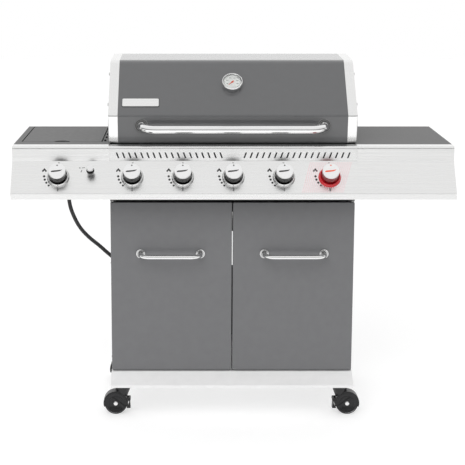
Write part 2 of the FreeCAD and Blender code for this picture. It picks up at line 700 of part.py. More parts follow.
def gas_manifold():
    """A closed pipe behind the panel with a valve body for every knob."""
    middle = PANEL.multVec(Vector(0, 0, -size("manifold_back")))
    pipe = doc.addObject("Part::Cylinder", "manifold_pipe")
    bind(pipe, "Radius", "manifold_radius")
    bind(pipe, "Height", "manifold_right - manifold_left")
    pipe.Placement = Placement(Vector(size("manifold_left"), middle.y, middle.z), ALONG["X"])
    valves = [square_to(PANEL, f"valve_{name}", "valve_radius", x, 0,
                        "0 - manifold_back", "0 - valve_near")
              for name, x in KNOBS.items()]
    return fuse("gas_manifold", pipe, *valves)


def knob_bezels():
    """A dished ring behind every knob."""
    rings = []
    for name, x in KNOBS.items():
        ring = spun(f"bezel_{name}", [
            ("stem_hole", "0"), ("bezel_radius", "0"), ("bezel_radius", "bezel_high - 4"),
            ("bezel_radius - 3", "bezel_high"), ("knob_radius + 1", "bezel_high"),
            ("knob_radius + 1", "1.5"), ("stem_hole", "1.5")])
        rings.append(on_frame(ring, PANEL, x, 0, 0))
    return together("knob_bezels", rings)


def knob(name, x):
    """A knob in three solids: its stem, a black body and a thin metal disc on its face."""
    skirt = spun(f"{name}_skirt", [
        ("stem_radius", "knob_base"), ("knob_radius", "knob_base"),
        ("knob_radius", "knob_base + 4"), ("cap_radius - 1", "knob_base + 7"),
        ("cap_radius - 1", "cap_base"), ("stem_radius", "cap_base")])
    cap = spun(f"{name}_cap", [
        ("0", "cap_base"), ("cap_radius", "cap_base"), ("cap_radius", "knob_high - 1.5"),
        ("cap_radius - 1.5", "knob_high"), ("0", "knob_high")])
    for piece in (skirt, cap):
        on_frame(piece, PANEL, x, 0, 0)
    stem = square_to(PANEL, f"{name}_stem", "stem_radius", x, 0, "0 - valve_near + 0.3", "cap_base")
    return together(name, [stem, skirt, cap])


def igniter():
    """A collar that widens outwards from the panel and the push-button that slides in it."""
    collar = spun("igniter_collar", [
        ("button_shank + running_gap", "0"), ("collar_foot", "0"),
        ("collar_radius", "collar_high - 5"), ("collar_radius", "collar_high - 1.5"),
        ("collar_radius - 1.5", "collar_high"), ("button_shank + running_gap", "collar_high")])
    on_frame(collar, PANEL, "igniter_x", "igniter_up", 0)
    button = spun("igniter_button", [
        ("0", "-12"), ("button_shank", "-12"), ("button_shank", "button_under"),
        ("button_radius", "button_under"), ("button_radius", "button_high - 1.5"),
        ("button_radius - 1.5", "button_high"), ("0", "button_high")])
    on_frame(button, PANEL, "igniter_x", "igniter_up", 0)
    return collar, button


# ---------------------------------------------------------------- side burner

def side_burner_well():
    """A drop-in pan under the shelf's opening, with the lid's two hinge pins on its walls."""
    left, right = "hatch_left - hatch_side_gap - 1", "hatch_right + hatch_side_gap + 1"
    front, back = "hatch_front - hatch_side_gap - 1", "hatch_back + hatch_rear_gap + 1"
    top = "shelf_top - skin"
    pan = prism("well_pan", "XY_Plane",
                [(left, front), (right, front), (right, back), (left, back)],
                f"{top} - well_foot", "well_foot")
    hollow(pan, "well_wall", [at_z(top)])
    pin_left = cylinder("hatch_pin_left", "hatch_pin", "9",
                        (f"{left} + well_wall - 0.5", "hatch_pin_y", "hatch_pin_z"), "X")
    pin_right = cylinder("hatch_pin_right", "hatch_pin", "9",
                         (f"{right} - well_wall - 8.5", "hatch_pin_y", "hatch_pin_z"), "X")
    return fuse("side_burner_well", pan, pin_left, pin_right)


def side_burner():
    """A round burner head on a short neck in the middle of the well."""
    head = spun("side_burner", [
        ("0", "well_foot + well_wall"), ("16", "well_foot + well_wall"), ("16", "well_foot + 14"),
        ("ring_radius", "well_foot + 18"), ("ring_radius", "well_foot + 28"),
        ("ring_radius - 12", "well_foot + 34"), ("0", "well_foot + 34")])
    put(head, "(hatch_left + hatch_right) / 2", "(hatch_front + hatch_back) / 2", 0)
    return head


def side_burner_grate():
    """A square frame with crossing bars on four legs."""
    low_x, high_x, low_y, high_y = "hatch_left + 4", "hatch_right - 4", "hatch_front + 8", "hatch_back - 22"
    foot, top = "pan_grate_z", "pan_grate_z + pan_bar"
    across = f"(({high_x}) - ({low_x}) - pan_bar)"
    deep = f"(({high_y}) - ({low_y}) - pan_bar)"
    bars = []
    for number in range(5):
        y = f"{low_y} + {number} * {deep} / 4"
        bars.append(box(f"pan_bar_x_{number + 1}", (low_x, y, foot), (high_x, f"{y} + pan_bar", top)))
    for number in range(5):
        x = f"{low_x} + {number} * {across} / 4"
        bars.append(box(f"pan_bar_y_{number + 1}", (x, low_y, foot), (f"{x} + pan_bar", high_y, top)))
    for number, (x, y) in enumerate([(low_x, low_y), (f"{high_x} - pan_bar", low_y),
                                     (low_x, f"{high_y} - pan_bar"),
                                     (f"{high_x} - pan_bar", f"{high_y} - pan_bar")], 1):
        bars.append(box(f"pan_leg_{number}", (x, y, "well_foot + well_wall"),
                        (f"{x} + pan_bar", f"{y} + pan_bar", foot)))
    return fuse("side_burner_grate", *bars)


def side_burner_lid():
    """The flush lid: a shallow inverted pan with a round finger notch in its front edge."""
    pan = prism("hatch_pan", "XY_Plane",
                [("hatch_left", "hatch_front"), ("hatch_right", "hatch_front"),
                 ("hatch_right", "hatch_back"), ("hatch_left", "hatch_back")],
                "hatch_deep", "shelf_top - hatch_deep")
    hollow(pan, "skin", [at_z("shelf_top - hatch_deep")])
    notch = cylinder("hatch_notch", "notch_radius", "30",
                     ("(hatch_left + hatch_right) / 2", "hatch_front - notch_out", "shelf_top - 15"))
    bores = cylinder("hatch_bores", "hatch_pin + running_gap", "400",
                     ("hatch_left - 50", "hatch_pin_y", "hatch_pin_z"), "X")
    return cut("side_burner_lid", pan, notch, bores)


# ---------------------------------------------------------------- lid

LID_FRONT = [("lid_front", "lid_foot"), ("lid_bend_y", "lid_bend_z"), ("lid_crown_y", "lid_crown_z"),
             ("lid_back", "lid_top")]
LID_BENDS = [("lid_bend_y", "lid_bend_z", "bend_round"), ("lid_crown_y", "lid_crown_z", "crown_round"),
             ("lid_back", "lid_top", "back_round")]


def lid_skin():
    """The dark bent sheet between the two end caps."""
    half = "lid_half - lid_cap_wide"
    skin = prism("lid_sheet", "YZ_Plane", LID_FRONT + [("lid_back", "hinge_z")],
                 f"2 * ({half})", f"0 - ({half})")
    round_bends(skin, LID_BENDS)
    solid = skin.Tip
    names = []
    for number, face in enumerate(solid.Shape.Faces, 1):
        limits = face.BoundBox
        underside = limits.ZMax < size("hinge_z") + 1 and limits.YLength > 300
        if underside or limits.XLength < 0.01:
            names.append(f"Face{number}")
    shell = skin.newObject("PartDesign::Thickness", "Wall")
    shell.Base = (solid, names)
    shell.Reversed = True
    bind(shell, "Value", "skin")
    doc.recompute()
    return drill("lid_skin", skin, GAUGE, [(0, 0)], "gauge_stem", 8)


def lid_end_cap(name, side):
    """A stamped end: a side plate with a rim, cut round behind so that it clears the shelf."""
    inner = "lid_half - lid_cap_wide"
    start = inner if side > 0 else "0 - lid_half"
    cap = prism(f"{name}_pan", "YZ_Plane", LID_FRONT + [("lid_back", "lid_foot")],
                "lid_cap_wide", start)
    round_bends(cap, LID_BENDS + [("lid_back", "lid_foot", "cam")])
    round_end(cap, "lid_half" if side > 0 else "0 - lid_half", "lid_cap_round")
    inner_face = inner if side > 0 else f"0 - ({inner})"
    hollow(cap, "lid_cap_skin", [at_x(inner_face)])
    low, high = (f"{inner} - 1", "lid_half - lid_cap_skin")
    if side < 0:
        low, high = (f"0 - ({high})", f"0 - ({low})")
    under = box(f"{name}_under", (low, "lid_front + lid_cap_skin + 0.4", "lid_foot - 1"),
                (high, "lid_back + 1", "hinge_z"))
    bore = cylinder(f"{name}_bore", "hinge_pin + running_gap", "60",
                    ("lid_half - 40" if side > 0 else "0 - lid_half - 20", "hinge_y", "hinge_z"), "X")
    return cut(name, cap, under, bore)


def lid_hinge_pins():
    """A headed pin through each end cap into the firebox's ear."""
    pins = []
    for side, low, head in (("left", "0 - lid_half - 1", "0 - lid_half - 5"),
                            ("right", "box_half - box_wall - 6", "lid_half + 1")):
        high = "0 - (box_half - box_wall - 6)" if side == "left" else "lid_half + 1"
        shank = cylinder(f"hinge_shank_{side}", "hinge_pin", f"({high}) - ({low})",
                         (low, "hinge_y", "hinge_z"), "X")
        cap = cylinder(f"hinge_head_{side}", "hinge_pin + 3", "4", (head, "hinge_y", "hinge_z"), "X")
        pins.append(fuse(f"hinge_pin_{side}", shank, cap))
    return together("lid_hinge_pins", pins)


def lid_face_y(height):
    """Where the lid's near-upright front is at a height."""
    share = f"(({height}) - lid_foot) / (lid_bend_z - lid_foot)"
    return f"(lid_front + (lid_bend_y - lid_front) * {share})"


def lid_handle():
    """The lid's bow handle; its discs are let into the leaning front by a hair."""
    handle = bow_handle("lid_handle_bow", "0", f"{lid_face_y('handle_z')} + 3", "handle_z",
                        "handle_span", "handle_reach + 3", "handle_bend", "handle_tube", "rosette",
                        "rosette_thick + 3")
    face = prism("lid_front_block", "YZ_Plane",
                 [("lid_front", "lid_foot"), ("lid_bend_y", "lid_bend_z"),
                  ("lid_front + 60", "lid_bend_z"), ("lid_front + 60", "lid_foot")],
                 "2 * lid_half", "0 - lid_half")
    return cut("lid_handle", handle, face)


def gauge():
    """The thermometer's four pieces: cup, dial, needle and glass."""
    housing = spun("gauge_cup", [
        ("0", "0"), ("gauge_radius - 3", "0"), ("gauge_radius", "gauge_deep - 8"),
        ("gauge_radius", "gauge_deep - 2"), ("gauge_radius - 2", "gauge_deep"),
        ("dial_radius + 1", "gauge_deep"), ("dial_radius + 1", "gauge_deep - 8"),
        ("0", "gauge_deep - 8")])
    stem = square_to(GAUGE, "gauge_probe", "gauge_stem", 0, 0, "-60", "0")
    on_frame(housing, GAUGE, 0, 0, 0)
    dial = spun("gauge_dial", [
        ("2", "gauge_deep - 8"), ("dial_radius", "gauge_deep - 8"),
        ("dial_radius", "gauge_deep - 7"), ("2", "gauge_deep - 7")])
    on_frame(dial, GAUGE, 0, 0, 0)
    glass = spun("gauge_glass", [
        ("0", "gauge_deep - 3"), ("dial_radius + 1", "gauge_deep - 3"),
        ("dial_radius + 1", "gauge_deep - 1"), ("0", "gauge_deep - 1")])
    on_frame(glass, GAUGE, 0, 0, 0)
    pointer = prism("needle_pointer", "XY_Plane",
                    [("-1", "8"), ("1", "8"), ("1.6", "0"), ("0.5", "-24"), ("-0.5", "-24"),
                     ("-1.6", "0")], "1", "gauge_deep - 6")
    hub = spun("needle_hub", [("0", "gauge_deep - 6.5"), ("3", "gauge_deep - 6.5"),
                              ("3", "gauge_deep - 4"), ("0", "gauge_deep - 4")])
    aim = Placement(Vector(), Rotation(Vector(0, 0, 1), -45))
    for piece in (pointer, hub):
        piece.Placement = GAUGE.multiply(aim)
    cup = fuse("gauge_body", housing, stem)
    return together("gauge_housing", [cup, dial]), glass, fuse("gauge_needle", pointer, hub)


def blank_badge():
    """A plain plate low on the lid's slope."""
    plate = box("blank_badge", ("0 - badge_wide / 2", "0 - badge_tall / 2", 0),
                ("badge_wide / 2", "badge_tall / 2", "badge_thick"))
    for axis in "xyz":
        plate.setExpression(f"Placement.Base.{axis}", None)
    corner = Placement(Vector(size("badge_x - badge_wide / 2"), -size("badge_tall") / 2, 0), Rotation())
    plate.Placement = BADGE.multiply(corner)
    return plate


# ---------------------------------------------------------------- casters

CASTERS = {"front_left": (-1, "caster_front"), "front_right": (1, "caster_front"),
           "back_left": (-1, "caster_back"), "back_right": (1, "caster_back")}


def side_x(side, distance):
    return distance if side > 0 else f"0 - ({distance})"


def caster_plates():
    """A mounting plate under each rail with the stem that the caster swivels on."""
    plates = []
    for name, (side, y) in CASTERS.items():
        x = side_x(side, "caster_x")
        plate = box(f"caster_plate_{name}",
                    (f"{x} - plate_wide / 2", f"{y} - plate_deep / 2", "skirt_foot"),
                    (f"{x} + plate_wide / 2", f"{y} + plate_deep / 2", "skirt_foot + 3"))
        stem = cylinder(f"caster_stem_{name}", "5.5", "skirt_foot - neck_foot - 12",
                        (x, y, "neck_foot + 12"))
        collar = cylinder(f"caster_collar_{name}", "plate_deep / 2 - 1", "skirt_foot - neck_top - 0.3",
                          (x, y, "neck_top + 0.3"))
        plates.append(fuse(f"caster_mount_{name}", plate, stem, collar))
    return together("caster_plates", plates)


def caster_fork(name, side, y, braked):
    """A hooded fork that trails outwards from its flared neck, with the wheel's axle."""
    x = side_x(side, "caster_x")
    hub = side_x(side, "caster_x + trail")
    neck = spun(f"{name}_neck", [
        ("0", "neck_foot"), ("neck_radius", "neck_foot"), ("neck_flare", "neck_top - 3"),
        ("neck_flare", "neck_top"), ("0", "neck_top")])
    put(neck, x, y, 0)
    hood = cylinder(f"{name}_hood", "hood_radius", "hood_wide",
                    (hub, f"{y} - hood_wide / 2", "wheel_radius"), "Y")
    pieces = [neck, hood]
    if braked:
        pivot = side_x(side, "caster_x + trail - brake_in - 3")
        root = side_x(side, "caster_x + trail - 36")
        low_x, high_x = (pivot, root) if side > 0 else (root, pivot)
        for end, start in (("front", "0 - 15"), ("back", "12")):
            pieces.append(box(f"{name}_ear_{end}", (low_x, f"{y} + {start}", "wheel_radius + 7"),
                              (high_x, f"{y} + {start} + 3", "wheel_radius + 17")))
    body = fuse(f"{name}_blank", *pieces)
    slot = cylinder(f"{name}_slot", "hood_inner", "hood_slot",
                    (hub, f"{y} - hood_slot / 2", "wheel_radius"), "Y")
    below = box(f"{name}_below", (f"{hub} - 60", f"{y} - 30", "-10"),
                (f"{hub} + 60", f"{y} + 30", "hood_foot"))
    stem = cylinder(f"{name}_stem_bore", "5.5 + running_gap", "60", (x, y, "neck_foot + 10"))
    axle_bore = cylinder(f"{name}_axle_bore", "axle_radius", "80", (hub, f"{y} - 40", "wheel_radius"), "Y")
    tools = [slot, below, stem, axle_bore]
    if braked:
        near, far = side_x(side, "caster_x - 30"), side_x(side, "caster_x + trail - 30")
        low_x, high_x = (near, far) if side > 0 else (far, near)
        tools.append(box(f"{name}_window", (low_x, f"{y} - 12", "hood_foot - 1"),
                         (high_x, f"{y} + 12", "wheel_radius + 7")))
        tools.append(cylinder(f"{name}_pin_bore", "brake_pin", "80",
                              (pivot_in(side), f"{y} - 40", "wheel_radius + 12"), "Y"))
    fork = cut(f"{name}_fork", body, *tools)
    axle = cylinder(f"{name}_axle", "axle_radius", "hood_wide + 4",
                    (hub, f"{y} - hood_wide / 2 - 2", "wheel_radius"), "Y")
    solids = [fork, axle]
    if braked:
        solids.append(cylinder(f"{name}_pin", "brake_pin", "34",
                               (pivot_in(side), f"{y} - 17", "wheel_radius + 12"), "Y"))
    return together(name, solids)


def pivot_in(side):
    """The brake pivot, just inboard of the hood."""
    return side_x(side, "caster_x + trail - brake_in")


def brake_pedal(name, side, y):
    """A short lever whose tip swings onto the tyre."""
    sign = "" if side > 0 else "0 - "
    hub = "(caster_x + trail)"
    lever = prism(f"{name}_lever", "XZ_Plane",
                  [(f"{sign}({hub} - 49)", "wheel_radius + 10"), (f"{sign}({hub} - 45)", "wheel_radius + 10"),
                   (f"{sign}({hub} - 45)", "wheel_radius - 6"), (f"{sign}({hub} - 36)", "wheel_radius - 20"),
                   (f"{sign}({hub} - 50)", "wheel_radius - 20"), (f"{sign}({hub} - 49)", "wheel_radius - 8")],
                  "22", f"0 - ({y}) - 11")
    barrel = cylinder(f"{name}_barrel", "brake_pin + 2.5", "22",
                      (pivot_in(side), f"{y} - 11", "wheel_radius + 12"), "Y")
    bore = cylinder(f"{name}_bore", "brake_pin + running_gap", "60",
                    (pivot_in(side), f"{y} - 30", "wheel_radius + 12"), "Y")
    return cut(name, fuse(f"{name}_blank", lever, barrel), bore)


def caster_wheel(name, side, y):
    """A wheel with a rounded tread and a dished hub, on its running clearance."""
    half = "wheel_wide / 2"
    wheel = spun(name, [
        ("axle_radius + running_gap", f"0 - {half}"), ("9", f"0 - {half}"), ("11", f"4 - {half}"),
        ("27", f"4 - {half}"), ("29", f"0 - {half}"), ("wheel_radius - 3", f"0 - {half}"),
        ("wheel_radius", f"4 - {half}"), ("wheel_radius", f"{half} - 4"),
        ("wheel_radius - 3", half), ("29", half), ("27", f"{half} - 4"), ("11", f"{half} - 4"),
        ("9", half), ("axle_radius + running_gap", half)])
    put(wheel, side_x(side, "caster_x + trail"), y, "wheel_radius", ALONG["Y"])
    return wheel


# ---------------------------------------------------------------- gas hose

# The hose leaves the manifold under the left shelf, drops, goes through the side panel
# and hangs inside the cart with the regulator on its end.
HOSE_ROUTE = [
    (-545, -166.7, 766), (-543.5, -159, 732), (-531, -139, 686), (-513.5, -109, 641),
    (-486, -74, 600), (-454, -44, 566), (-423.5, -29, 533), (-390, -18, 503),
    (-366, -2, 460), (-350, 12, 412), (-342, 22, 362), (-339, 27, 314),
]


def hose_path(points):
    """Straight runs joined by tangent arcs, as one wire, and the arcs' radii."""
    corners = [Vector(*point) for point in points]
    edges = []
    radii = []
    start = corners[0]
    for before, corner, after in zip(corners, corners[1:], corners[2:]):
        inward = (corner - before).normalize()
        outward = (after - corner).normalize()
        turn = inward.getAngle(outward)
        reach = 0.45 * min((corner - before).Length, (after - corner).Length)
        radius = reach / math.tan(turn / 2)
        radii.append(radius)
        near = corner - inward * reach
        far = corner + outward * reach
        to_middle = (outward - inward).normalize()
        crown = corner + to_middle * (radius / math.cos(turn / 2) - radius)
        edges.append(Part.LineSegment(start, near).toShape())
        edges.append(Part.Arc(near, crown, far).toShape())
        start = far
    edges.append(Part.LineSegment(start, corners[-1]).toShape())
    return Part.Wire(edges), radii


def gas_hose():
    path, radii = hose_path(HOSE_ROUTE)
    start = Vector(*HOSE_ROUTE[0])
    ahead = Vector(*HOSE_ROUTE[1]) - start
    ring = Part.Wire(Part.makeCircle(size("hose_radius"), start, ahead))
    tube = path.makePipeShell([ring], True, False)
    hose = doc.addObject("Part::Feature", "gas_hose")
    hose.Shape = tube
    section = math.pi * size("hose_radius") ** 2
    print("hose length %.1f mm, radii %s" % (path.Length, [round(radius) for radius in radii]))
    print("hose volume / (section x length) = %.4f" % (tube.Volume / section / path.Length))
    return hose


def between(name, start, end, radius):
    """A cylinder from one point towards another."""
    reach = end - start
    rod = doc.addObject("Part::Cylinder", name)
    bind(rod, "Radius", radius)
    rod.Height = reach.Length
    rod.Placement = Placement(start, Rotation(Vector(0, 0, 1), reach))
    return rod


def hose_fitting():
    """The union between the manifold and the hose."""
    start = Vector(*HOSE_ROUTE[0])
    back = (start - Vector(*HOSE_ROUTE[1])).normalize()
    return between("hose_fitting", start, start + back * 22, "hose_nut")


def gas_regulator():
    """The regulator on the hose's free end: barb, round body and hand nut."""
    end = Vector(*HOSE_ROUTE[-1])
    down = (end - Vector(*HOSE_ROUTE[-2])).normalize()
    barb = between("regulator_barb", end, end + down * 16, "hose_nut")
    body = doc.addObject("Part::Cylinder", "regulator_body")
    body.Radius = 29
    body.Height = 34
    centre = end + down * 42
    body.Placement = Placement(centre - Vector(0, 17, 0), ALONG["Y"])
    nut = between("regulator_nut", end + down * 66, end + down * 92, "17")
    neck = between("regulator_neck", end + down * 40, end + down * 68, "9")
    return fuse("gas_regulator", barb, body, neck, nut)


# ---------------------------------------------------------------- the whole grill

def build():
    header = front_header()
    tray_and_runners = [header] + tray_runners()
    collar, button = igniter()
    housing, glass, needle = gauge()
    grates, ledges = cooking_grates()
    nodes = {
        "base_tray": base_tray(),
        "side_panel_left": side_panel("side_panel_left", -1),
        "side_panel_right": side_panel("side_panel_right", 1),
        "hose_grommet": hose_grommet(),
        "back_panel": back_panel(),
        "front_header": together("front_header_set", tray_and_runners),
        "door_hinge_pins": door_hinge_pins(),
        "door_left": door("door_left", -1),
        "door_right": door("door_right", 1),
        "door_handle_left": door_handle("door_handle_left", -1),
        "door_handle_right": door_handle("door_handle_right", 1),
        "control_panel": control_panel(),
        "shelf_front_left": shelf_front("shelf_front_left", -1),
        "shelf_front_right": shelf_front("shelf_front_right", 1),
        "shelf_left": shelf_left(),
        "shelf_right": shelf_pan("shelf_right", 1),
        "firebox": together("firebox_set", [firebox(), ledges]),
        "burners": burners(),
        "heat_plates": heat_plates(),
        "cooking_grates": grates,
        "warming_rack": warming_rack(),
        "grease_tray": grease_tray(),
        "grease_cup": grease_cup(),
        "gas_manifold": gas_manifold(),
        "knob_bezels": knob_bezels(),
        "igniter_collar": collar,
        "igniter_button": button,
        "side_burner_well": side_burner_well(),
        "side_burner": side_burner(),
        "side_burner_grate": side_burner_grate(),
        "side_burner_lid": side_burner_lid(),
        "lid_skin": lid_skin(),
        "lid_end_cap_left": lid_end_cap("lid_end_cap_left", -1),
        "lid_end_cap_right": lid_end_cap("lid_end_cap_right", 1),
        "lid_handle": lid_handle(),
        "lid_hinge_pins": lid_hinge_pins(),
        "gauge_housing": housing,
        "gauge_glass": glass,
        "gauge_needle": needle,
        "blank_badge": blank_badge(),
        "caster_plates": caster_plates(),
        "gas_hose": gas_hose(),
        "hose_fitting": hose_fitting(),
        "gas_regulator": gas_regulator(),
    }
    for name, x in KNOBS.items():
        nodes[name] = knob(name, x)
    for name, (side, y) in CASTERS.items():
        braked = name.startswith("front")
        nodes[f"caster_fork_{name}"] = caster_fork(f"caster_fork_{name}", side, y, braked)
        nodes[f"caster_wheel_{name}"] = caster_wheel(f"caster_wheel_{name}", side, y)
        if braked:
            nodes[f"brake_pedal_{name}"] = brake_pedal(f"brake_pedal_{name}", side, y)
    doc.recompute()
    return nodes


def check(nodes):
    for thing in doc.Objects:
        if "Invalid" in thing.State or "Error" in thing.State:
            raise RuntimeError(f"{thing.Label} did not recompute: {thing.State}")
    for name, node in nodes.items():
        if node.Shape.isNull() or not node.Shape.isValid() or not node.Shape.Solids:
            raise RuntimeError(f"{name} has no valid solid")


NODES = build()
for node_name, part in NODES.items():
    if part.Label != node_name:
        part.Label = node_name
check(NODES)
os.makedirs("parts", exist_ok=True)
for node_name, part in NODES.items():
    part.Shape.exportStep(f"parts/{node_name}.step")
print(f"{len(NODES)} nodes")
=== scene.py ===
import math

import bmesh
import bpy
from mathutils import Matrix, Vector


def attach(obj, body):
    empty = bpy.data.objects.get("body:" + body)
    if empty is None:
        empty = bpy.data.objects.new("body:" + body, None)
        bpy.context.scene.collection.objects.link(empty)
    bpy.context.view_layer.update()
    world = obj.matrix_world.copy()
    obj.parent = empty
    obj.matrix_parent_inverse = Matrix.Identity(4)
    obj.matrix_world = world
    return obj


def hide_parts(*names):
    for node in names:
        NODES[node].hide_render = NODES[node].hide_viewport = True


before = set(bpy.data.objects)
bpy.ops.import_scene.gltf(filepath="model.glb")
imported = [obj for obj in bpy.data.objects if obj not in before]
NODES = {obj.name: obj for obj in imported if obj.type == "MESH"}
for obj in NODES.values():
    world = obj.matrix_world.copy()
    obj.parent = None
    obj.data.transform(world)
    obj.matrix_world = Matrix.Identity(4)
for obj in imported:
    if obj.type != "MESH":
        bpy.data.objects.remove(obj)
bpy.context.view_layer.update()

MM = 0.001
scene = bpy.context.scene


# ---------------------------------------------------------------- camera

EYE = Vector((-0.138, -4.494, 1.589))     # where someone would stand to photograph the grill
PITCH_DOWN = math.radians(10.39)
LENS = 102.7
SENSOR_WIDTH = 36
SHIFT = (0.089, -0.10)                    # as much as the framing needs
FAR_CLIP = 50


def make_camera():
    data = bpy.data.cameras.new("camera")
    data.lens = LENS
    data.sensor_width = SENSOR_WIDTH
    data.shift_x, data.shift_y = SHIFT
    data.clip_end = FAR_CLIP
    camera = bpy.data.objects.new("camera", data)
    camera.location = EYE
    camera.rotation_euler = (math.pi / 2 - PITCH_DOWN, 0, 0)
    scene.collection.objects.link(camera)
    scene.camera = camera


make_camera()


# ---------------------------------------------------------------- gas hose

HOSE_RADIUS = 6.5 * MM
HOSE_ROUTE = [
    (-545, -166.7, 766), (-543.5, -159, 732), (-531, -139, 686), (-513.5, -109, 641),
    (-486, -74, 600), (-454, -44, 566), (-423.5, -29, 533), (-390, -18, 503),
    (-366, -2, 460), (-350, 12, 412), (-342, 22, 362), (-339, 27, 314),
]


def link(thing):
    scene.collection.objects.link(thing)
    return thing


def make_hose():
    data = bpy.data.curves.new("gas_hose_line", "CURVE")
    data.dimensions = "3D"
    data.bevel_depth = 1                 # times each point's radius
    data.bevel_resolution = 6
    data.resolution_u = 16
    spline = data.splines.new("NURBS")
    spline.points.add(len(HOSE_ROUTE) - 1)
    for point, place in zip(spline.points, HOSE_ROUTE):
        point.co = (*[value * MM for value in place], 1)
        point.radius = HOSE_RADIUS
    spline.order_u = 3
    spline.use_endpoint_u = True
    return link(bpy.data.objects.new("gas_hose_line", data))


hose = make_hose()
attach(hose, "cart")
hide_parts("gas_hose")


# ---------------------------------------------------------------- materials

def nodes_of(material):
    material.use_nodes = True
    tree = material.node_tree
    return tree, tree.nodes["Principled BSDF"]


def coordinates(tree, scale):
    """The grill's own coordinates, stretched, so that a grain keeps its real size."""
    where = tree.nodes.new("ShaderNodeTexCoord")
    stretch = tree.nodes.new("ShaderNodeMapping")
    stretch.inputs["Scale"].default_value = scale
    tree.links.new(where.outputs["Object"], stretch.inputs["Vector"])
    return stretch.outputs["Vector"]


def noise(tree, scale, size=1.0, detail=3.0):
    texture = tree.nodes.new("ShaderNodeTexNoise")
    texture.inputs["Scale"].default_value = size
    texture.inputs["Detail"].default_value = detail
    tree.links.new(coordinates(tree, scale), texture.inputs["Vector"])
    return texture.outputs["Fac"]


def spread(tree, source, low, high, start=0.3, end=0.7):
    """Turn a pattern into values from low to high."""
    band = tree.nodes.new("ShaderNodeMapRange")
    for socket, value in zip(("From Min", "From Max", "To Min", "To Max"), (start, end, low, high)):
        band.inputs[socket].default_value = value
    tree.links.new(source, band.inputs["Value"])
    return band.outputs["Result"]


def tint(tree, source, dark, light):
    """Turn a 0 to 1 pattern into colours between two."""
    ramp = tree.nodes.new("ShaderNodeValToRGB")
    ramp.color_ramp.elements[0].position = 0.3
    ramp.color_ramp.elements[1].position = 0.7
    ramp.color_ramp.elements[0].color = (*dark, 1)
    ramp.color_ramp.elements[1].color = (*light, 1)
    tree.links.new(source, ramp.inputs["Fac"])
    return ramp.outputs["Color"]


def bumps(tree, shader, source, strength, distance):
    bump = tree.nodes.new("ShaderNodeBump")
    bump.inputs["Strength"].default_value = strength
    bump.inputs["Distance"].default_value = distance
    tree.links.new(source, bump.inputs["Height"])
    tree.links.new(bump.outputs["Normal"], shader.inputs["Normal"])


def varied(base, change):
    return tuple(max(0.0, part * (1 - change)) for part in base), tuple(part * (1 + change) for part in base)


def finish_material(name, base, rough, metal=0.0, change=0.06, rough_change=0.06, grain=(1, 1, 1),
                    size=60.0, bump=0.0, bump_size=0.0002, coat=0.0, coat_rough=0.12, ior=1.45):
    """One finish: uneven colour, uneven roughness and a fine surface relief."""
    material = bpy.data.materials.new(name)
    tree, shader = nodes_of(material)
    pattern = noise(tree, grain, size)
    dark, light = varied(base, change)
    tree.links.new(tint(tree, pattern, dark, light), shader.inputs["Base Color"])
    tree.links.new(spread(tree, pattern, rough - rough_change, rough + rough_change),
                   shader.inputs["Roughness"])
    shader.inputs["Metallic"].default_value = metal
    shader.inputs["IOR"].default_value = ior
    shader.inputs["Coat Weight"].default_value = coat
    shader.inputs["Coat Roughness"].default_value = coat_rough
    if bump:
        bumps(tree, shader, noise(tree, grain, size * 4, 2.0), bump, bump_size)
    return material


def brushed(name, base, rough, grain):
    return finish_material(name, base, rough, metal=1.0, change=0.035, rough_change=0.04, grain=grain,
                           size=1.0, bump=0.12, bump_size=0.00004)


def mixed(tree, factor, first, second):
    """A blend of two colour outputs."""
    mix = tree.nodes.new("ShaderNodeMix")
    mix.data_type = "RGBA"
    tree.links.new(factor, mix.inputs["Factor"])
    tree.links.new(first, mix.inputs["A"])
    tree.links.new(second, mix.inputs["B"])
    return mix.outputs["Result"]


ACROSS = (3, 900, 900)       # brushing that runs along X
UPWARD = (900, 900, 3)       # brushing that runs along Z
PAINT_ENDS = -0.152          # where the shelves' paint meets their steel front, in metres

PAINT_GREY = (0.125, 0.125, 0.125)
STEEL_GREY = (0.86, 0.86, 0.855)


def shelf_material():
    """Painted on top and bare brushed steel over the rounded front edge and the band below it."""
    material = bpy.data.materials.new("shelf_two_finishes")
    tree, shader = nodes_of(material)
    where = tree.nodes.new("ShaderNodeTexCoord")
    parts = tree.nodes.new("ShaderNodeSeparateXYZ")
    tree.links.new(where.outputs["Object"], parts.inputs["Vector"])
    painted = spread(tree, parts.outputs["Y"], 0, 1, PAINT_ENDS - 0.0004, PAINT_ENDS + 0.0004)
    bare = spread(tree, parts.outputs["Y"], 1, 0, PAINT_ENDS - 0.0004, PAINT_ENDS + 0.0004)
    brushing, speckle = noise(tree, ACROSS, 1.0), noise(tree, (1, 1, 1), 60)
    steel = tint(tree, brushing, *varied(STEEL_GREY, 0.07))
    paint = tint(tree, speckle, *varied(PAINT_GREY, 0.05))
    tree.links.new(mixed(tree, painted, steel, paint), shader.inputs["Base Color"])
    tree.links.new(bare, shader.inputs["Metallic"])
    tree.links.new(spread(tree, parts.outputs["Y"], 0.27, 0.62, PAINT_ENDS - 0.0004, PAINT_ENDS + 0.0004),
                   shader.inputs["Roughness"])
    bumps(tree, shader, noise(tree, (1, 1, 1), 500, 2.0), 0.12, 0.0001)
    return material


